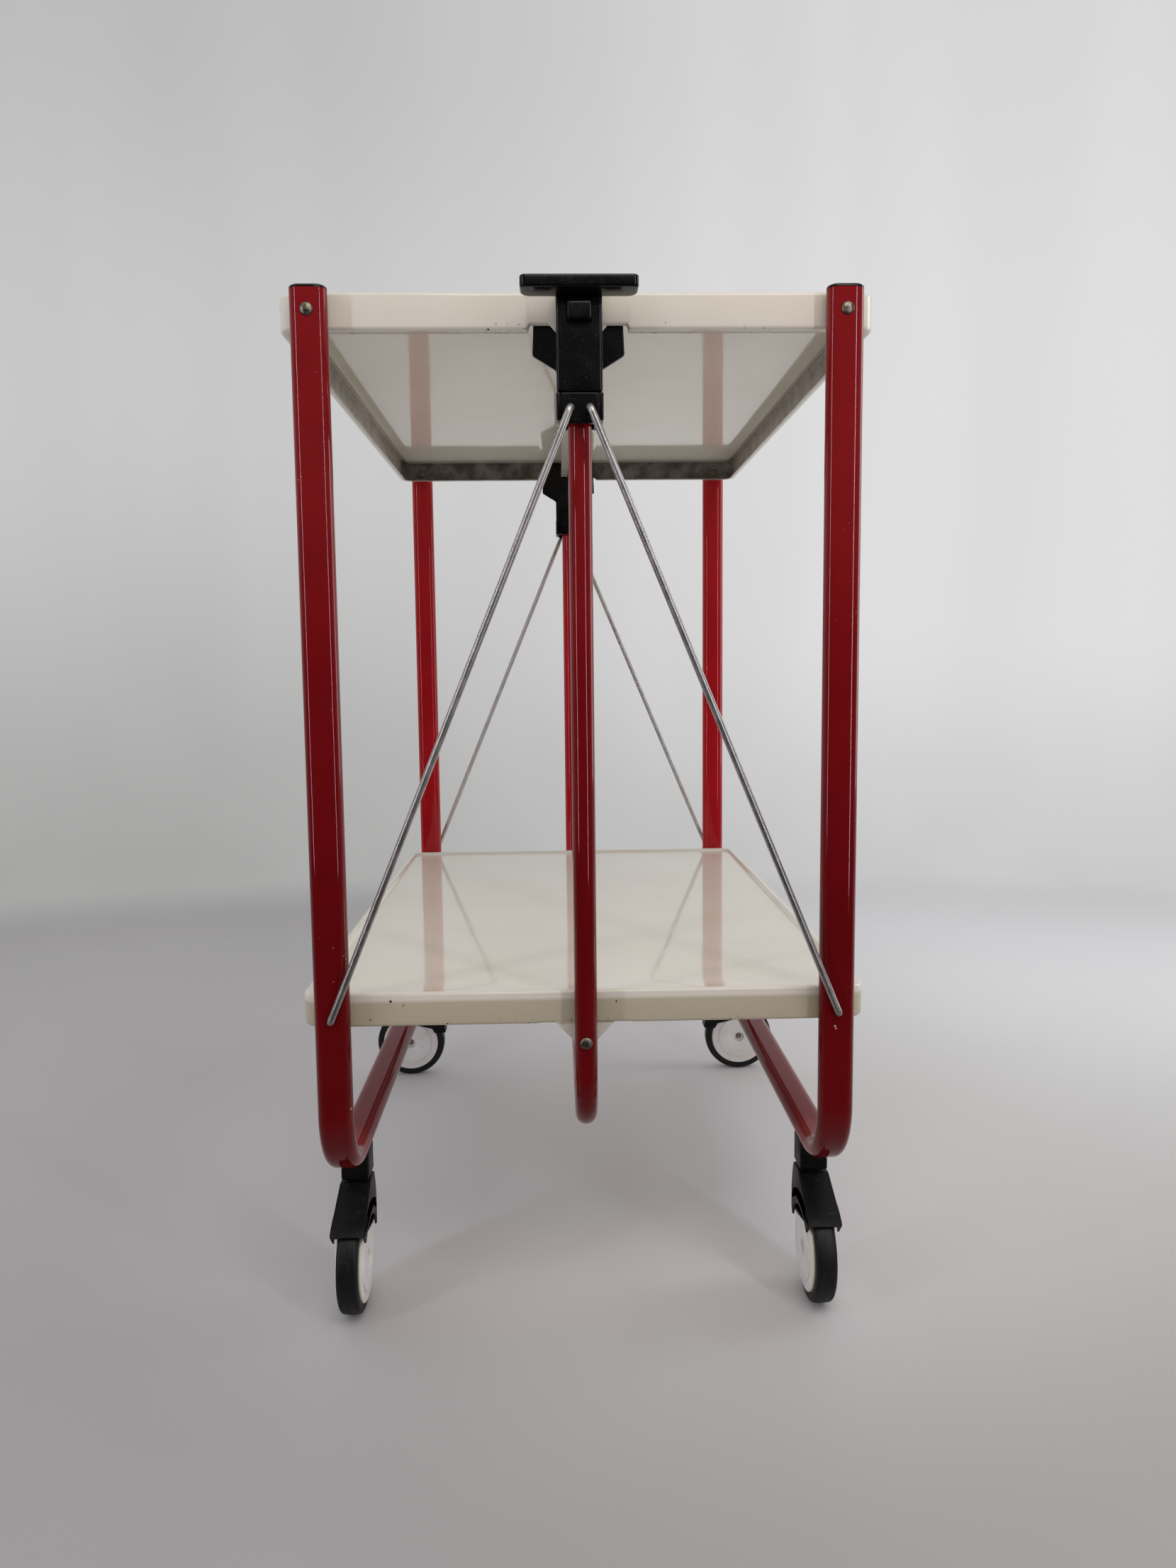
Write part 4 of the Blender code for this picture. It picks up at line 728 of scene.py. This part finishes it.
def hood_shells():
    """Hood: a crown over the tyres between two cheeks cut away in an arch, and the web to the axle. Its width is
    scaled by (1 - 0.1 u^1.5) (1 - 0.2 v^1.6), where u runs up from 70 mm and v back from the stem."""
    axle, outer = (TRAIL, WHEEL_RADIUS), WHEEL_RADIUS + 0.0037
    wall, rise, front = TRAIL - WHEEL_RADIUS - 0.0022, 0.012, 46
    end = WHEEL_RADIUS + rise
    half, crown = HOOD_HALF_WIDTH, HOOD_TOP - 0.001
    crest = arc(axle, outer, front, 62, 10)
    share = np.linspace(0, 1, 9)[1:-1]
    shoulder = np.column_stack([-0.009 + (wall + 0.009) * share ** 0.7, crown - (crown - end) * share ** 2.2])
    top = [arc((0.0110, HOOD_TOP - 0.003), 0.003, 45, 90, 4), arc((-0.0065, HOOD_TOP - 0.003), 0.003, 90, 135, 4)]
    over = np.concatenate([crest] + top + [shoulder, [(wall, end)]])
    under = WHEEL_RADIUS + 0.0013
    arch = arc(axle, ARCH_RADIUS, 180 - math.degrees(math.asin(rise / ARCH_RADIUS)), front, 30)
    roof = arc(axle, under, 180 - math.degrees(math.asin(rise / under)), front, 36)
    shells = [slab(np.concatenate([over, roof]), "Y", -half, half, 0.0022, 0.0022, 5)]
    cheek = np.concatenate([over, arch])
    shells += [slab(cheek, "Y", face * half, face * HOOD_CHEEK_INSIDE, 0.0011, 0.0004, 5) for face in (-1, 1)]
    root = [(TRAIL + BOSS_RADIUS, 0.0805), (TRAIL - BOSS_RADIUS, 0.0805)]
    boss = np.concatenate([arc(axle, BOSS_RADIUS, -180, 0, 20), root])
    shells.append(slab(boss, "Y", -WEB_HALF_WIDTH, WEB_HALF_WIDTH, 0.0002, 0.0002, 2))
    for points, _ in shells:
        high = np.clip((points[:, 2] - 0.07) / 0.0255, 0, 1)
        behind = np.clip(-points[:, 0] / 0.021, 0, 1)
        points[:, 1] *= (1 - 0.10 * high ** 1.5) * (1 - 0.2 * behind ** 1.6)
    return shells


def wheel_ring(profile, face, steps, ring=True):
    """Profile (r, l) turned round the axle on one side of the web."""
    return [turned([(r, face * level) for r, level in profile], (TRAIL, 0, WHEEL_RADIUS), steps=steps, ring=ring)]


def disc_shells(face):
    """Disc: rim rounded by a quarter of 1.6 mm, a step up at 24 mm, and a hub sunk 4 mm."""
    rim = arc((DISC_RADIUS - DISC_ROUND, 0.0080), DISC_ROUND, 0, 90, 8)
    profile = [(BORE_RADIUS, WHEEL_INSIDE), (DISC_RADIUS, WHEEL_INSIDE)] + rim.tolist()
    profile += [(0.0250, 0.0096), (0.0247, 0.0097), (0.0244, 0.0107), (0.0240, DISC_FACE), (0.0066, DISC_FACE)]
    profile += [(0.0059, 0.0106), (0.0056, 0.0100), (0.0055, HUB_FLOOR), (BORE_RADIUS, HUB_FLOOR)]
    return wheel_ring(profile, face, 72)


def axle_shells(face):
    """Axle's end with a rounded edge and a dimple."""
    profile = [(0.003, 0.0021), (0.003, 0.0078), (0.0027, 0.0084), (0.0021, 0.0087), (0.0012, 0.0085), (0.0004, 0.0083)]
    return wheel_ring(profile, face, 24, ring=False)


def tyre_shells(face):
    """Tyre: a crowned tread rounded to the side by a quarter of 3.2 mm, with a lip that nearly meets the other's."""
    tread = arc((0.0366, 0.0048), TYRE_ROUND, 90, 0, 8)
    profile = [(0.0328, WHEEL_INSIDE), (0.0328, 0.0076), (0.0332, 0.008)] + tread.tolist()
    profile += [(0.0399, 0.0026), (WHEEL_RADIUS, 0.0012), (WHEEL_RADIUS, 0.00005), (0.038, 0.00005)]
    return wheel_ring(profile + [(0.0372, WHEEL_INSIDE)], face, 96)


def caster(leg, x, y, turn):
    """Socket, stem with its collar, hood, and two discs with their tyres."""
    name = leg + "_caster"
    across, along = SOCKET_HALF_WIDTH, SOCKET_HALF_LENGTH
    plan = rounded([(a * across, b * along, 0.002) for a, b in ((-1, -1), (1, -1), (1, 1), (-1, 1))])
    block = slab(plan + (x, y), "Z", SOCKET_BOTTOM, SOCKET_TOP, 0.0014, 0)
    piece(name + "_socket", SATIN, [block])
    stem = [(0.003, 0.088), (0.004, 0.089), (0.004, 0.0958), (0.0066, 0.0958), (0.007, 0.0962), (0.007, 0.0968)]
    stem += [(0.0066, 0.0972), (0.004, 0.0972), (0.004, 0.113), (0.003, 0.1137)]
    piece(name + "_stem", ZINC, [turned(stem, (x, y, 0), "Z", 32)])
    piece(name + "_hood", SATIN, stood(hood_shells(), x, y, turn))
    for face_name, face in SIDES:
        disc = f"{name}_{face_name}_disc"
        shells = disc_shells(face)
        rim = np.hypot(shells[0][0][:, 0] - TRAIL, shells[0][0][:, 2] - WHEEL_RADIUS)
        yellowed = np.clip((rim - 0.0318) / 0.0006, 0, 1)
        piece(disc, IVORY, stood(shells, x, y, turn), yellowed)
        piece(disc, PIN, stood(axle_shells(face), x, y, turn), part="_axle")
        piece(f"{name}_{face_name}_tyre", RUBBER, stood(tyre_shells(face), x, y, turn))


def trolley():
    """Every piece of the trolley, standing open."""
    centre_frame()
    for side_name, side in SIDES:
        side_frame(f"{side_name}_side_frame", side)
        for end_name, end in ENDS:
            leg, x = f"{side_name}_{end_name}", side * PIVOT_X
            leg_cap(leg + "_leg_cap", x, end * LEG_Y)
            rivet(leg + "_pivot_rivet", x, TRAY_TOP - PIVOT_DROP, end, LEG_FACE_Y, SKIRT_INSIDE_Y)
            stay_wire(leg + "_stay_wire", side, end)
            turn = -math.pi / 2 if end < 0 else (math.pi if side < 0 else 0)
            caster(leg, x, end * STEM_Y, turn)
        tray_half(f"upper_tray_{side_name}_half", side, TRAY_TOP, **UPPER_TRAY)
        tray_half(f"lower_tray_{side_name}_half", side, TRAY_TOP - TRAY_SPACING, **LOWER_TRAY)
    for end_name, end in ENDS:
        for level, drop in (("upper", 0.0), ("lower", TRAY_SPACING)):
            rivet(f"{level}_{end_name}_centre_pin", 0, TRAY_TOP - PIN_DROP - drop, end, TUBE_FACE_Y, 0.3089)
        latch_housing(end_name + "_latch_housing", end)
        handle_bar(end_name + "_handle_bar", end)
        trigger(end_name + "_trigger", end)
        slider_shoe(end_name + "_slider_shoe", end)


def backdrop():
    """Round studio cove: a flat floor, an arc of 0.6 m and a wall, as rings (3 cos t, 3 sin t - 1.35). Its paper
    has painted light that makes it paler behind the trolley, higher up and to the right, a painted pool of light on the
    floor under the trolley that softens its shadow, and faint upright streaks of painted shade on the wall; mirrors
    show it dark in front, where the room is unlit."""
    middle, radius, cove, height = np.array([0.0, -1.35]), 3.0, 0.6, 4.0
    t = np.linspace(0, 2 * math.pi, 96, endpoint=False)
    material, tree, shader, place = begin("seamless_paper", 0.85)
    x, y, z = add_node(tree, "SeparateXYZ", {0: place}).outputs
    rays = add_node(tree, "LightPath").outputs

    def blend(value, low, high, first, second):
        """Colour that runs from the first to the second as the value runs from low to high."""
        return mixed(tree, ramp(tree, value, low, high, smooth=True), first, second)

    mirrored = rays["Is Glossy Ray"]
    # Painted light: the floor is lighter behind the trolley and to the right, where more light falls.
    left = blend(y, -0.9, 0.3, "#9d9998", "#b6b2b0")
    floor = blend(x, -0.6, 0.8, left, blend(y, -0.8, 0.7, "#9f9b95", "#e3e2e0"))
    # A painted pool of light under the trolley softens its shadow.
    floor = blend(away(tree, place, (0.08, 0.05, 0.0)), 0.15, 0.6, "#d2cecc", floor)
    floor = blend(y, -0.8, 0.0, blend(mirrored, 0, 1, floor, "#1f1d1c"), floor)
    # Painted light: the wall is lighter higher up and to the right.
    left = blend(z, 1.1, 2.0, blend(z, 0.0, 1.1, "#a6a6a5", "#c8c8c8"), "#bbbbbb")
    right = blend(z, 1.1, 2.0, blend(z, 0.0, 0.6, "#c9c9c9", "#dedede"), "#d8d8d8")
    front = blend(mirrored, 0, 1, "#a4a2a0", blend(z, 0.4, 1.4, "#232221", "#6e6c6a"))
    wall = blend(y, -1.6, 1.2, front, blend(x, -0.9, 0.9, left, right))
    # Faint upright streaks of painted shade on the wall, as from a hanging sheet.
    drape = add_node(tree, "Mapping", {"Vector": place, "Scale": (1.0, 1.0, 0.15)}).outputs[0]
    fold_shade = ramp(tree, patches(tree, drape, 220, 0.3, 0.7, 1.0), 0.0, 1.0, 0.98, 1.015)
    wall = add_node(tree, "HueSaturation", {"Value": fold_shade, "Color": wall}).outputs[0]
    tree.links.new(blend(z, 0.0, 0.1, floor, wall), shader.inputs["Base Color"])
    shader.inputs["Specular IOR Level"].default_value = 0.2
    glow = add_node(tree, "Emission", {"Color": wall, "Strength": 1.0}).outputs[0]
    seen = combined(tree, "MAXIMUM", rays["Is Camera Ray"], mirrored)
    seen = combined(tree, "MAXIMUM", seen, rays["Is Transmission Ray"])
    share = combined(tree, "MULTIPLY", seen, ramp(tree, z, 0.0, 0.06, smooth=True))
    surface = add_node(tree, "MixShader", {0: share, 1: shader.outputs[0], 2: glow}).outputs[0]
    tree.links.new(surface, tree.nodes["Material Output"].inputs["Surface"])
    floor_profile = np.array([(0.001, 0.0), ((radius - cove) / 2, 0.0), (radius - cove, 0.0)])
    wall_profile = np.concatenate([arc((radius - cove, cove), cove, -90, 0, 24), [(radius, height)]])
    for name, profile in (("floor", floor_profile), ("wall", wall_profile)):
        flat = middle + profile[:, :1, None] * np.stack([np.cos(t), np.sin(t)], -1)[None]
        level = np.broadcast_to(profile[:, 1][:, None, None], flat.shape[:2] + (1,))
        grid = np.concatenate([flat, level], -1)
        faces = [face[::-1] for face in grid_faces(*grid.shape[:2])]
        mesh = bpy.data.meshes.new(name)
        mesh.from_pydata(grid.reshape(-1, 3).tolist(), [], faces)
        mesh.shade_smooth()
        mesh.materials.append(material)
        item = bpy.data.objects.new(name, mesh)
        # The surround lights the trolley from all sides, through the wall
        item.visible_diffuse = item.visible_shadow = name == "floor"
        bpy.context.scene.collection.objects.link(item)


def soft_light(name, place, target, size, power, colour):
    """A softbox that faces its target."""
    light = bpy.data.lights.new(name, "AREA")
    light.shape, light.size, light.size_y = "RECTANGLE", size[0], size[1]
    light.energy, light.color = power, linear(colour)[:3]
    item = bpy.data.objects.new(name, light)
    item.location = place
    look = np.array(target, float) - np.array(place, float)
    level = math.hypot(look[0], look[1])
    item.rotation_euler = (math.pi / 2 + math.atan2(look[2], level), 0, math.atan2(-look[0], look[1]))
    item.visible_camera = False
    bpy.context.scene.collection.objects.link(item)


def lights():
    """Narrow upright lights beside the camera, a low-power window at the right, a lamp above the camera, a wide
    softbox overhead, and a surround that is brightest behind the trolley."""
    soft_light("left_strip", (-0.95, -0.95, 0.75), (-0.1, -0.2, 0.5), (0.055, 1.2), 3.4, "#f0ecff")
    soft_light("right_strip", (0.68, -1.15, 0.75), (0.1, -0.2, 0.5), (0.055, 1.3), 3.7, "#f2eeff")
    soft_light("right_window", (1.7, 0.2, 0.9), (0, 0, 0.5), (0.5, 1.4), 6, "#ffffff")
    soft_light("key", (0.15, -1.05, 1.45), (0, -0.2, 0.6), (0.7, 0.6), 4.6, "#fff4e6")
    soft_light("top", (0.2, -0.4, 2.4), (0, 0, 0.4), (1.8, 1.8), 4, "#f2f6ff")
    world = bpy.data.worlds.new("surround")
    world.use_nodes = True
    tree = world.node_tree
    way = add_node(tree, "SeparateXYZ", {0: add_node(tree, "TexCoord").outputs["Generated"]}).outputs
    behind, above = ramp(tree, way[1], -0.7, 0.5, 0.45, 1.4), ramp(tree, way[2], 0.2, 0.9, 1.0, 0.55)
    glow = combined(tree, "MULTIPLY", behind, above)
    tree.nodes["Background"].inputs["Color"].default_value = linear("#eef1f6")
    tree.links.new(glow, tree.nodes["Background"].inputs["Strength"])
    bpy.context.scene.world = world


def camera():
    """Pinhole camera of the photograph, turned, tilted and rolled."""
    yaw, pitch, roll = (math.radians(angle) for angle in CAMERA_ANGLES)
    forward = np.array([math.sin(yaw) * math.cos(pitch), math.cos(yaw) * math.cos(pitch), -math.sin(pitch)])
    right = np.array([math.cos(yaw), -math.sin(yaw), 0])
    down = np.cross(forward, right)
    across = math.cos(roll) * right + math.sin(roll) * down
    below = math.cos(roll) * down - math.sin(roll) * right
    data = bpy.data.cameras.new("camera")
    data.sensor_width, data.lens = SENSOR_WIDTH, FOCAL_PIXELS / PICTURE_HEIGHT * SENSOR_WIDTH
    data.clip_start = 0.05
    item = bpy.data.objects.new("camera", data)
    matrix = np.eye(4)
    matrix[:3, 0], matrix[:3, 1], matrix[:3, 2] = across, -below, -forward
    matrix[:3, 3] = CAMERA_PLACE
    item.matrix_world = matrix.T.tolist()
    bpy.context.scene.collection.objects.link(item)
    bpy.context.scene.camera = item


camera()
trolley()
backdrop()
lights()
bpy.context.scene.view_settings.view_transform = "Standard"
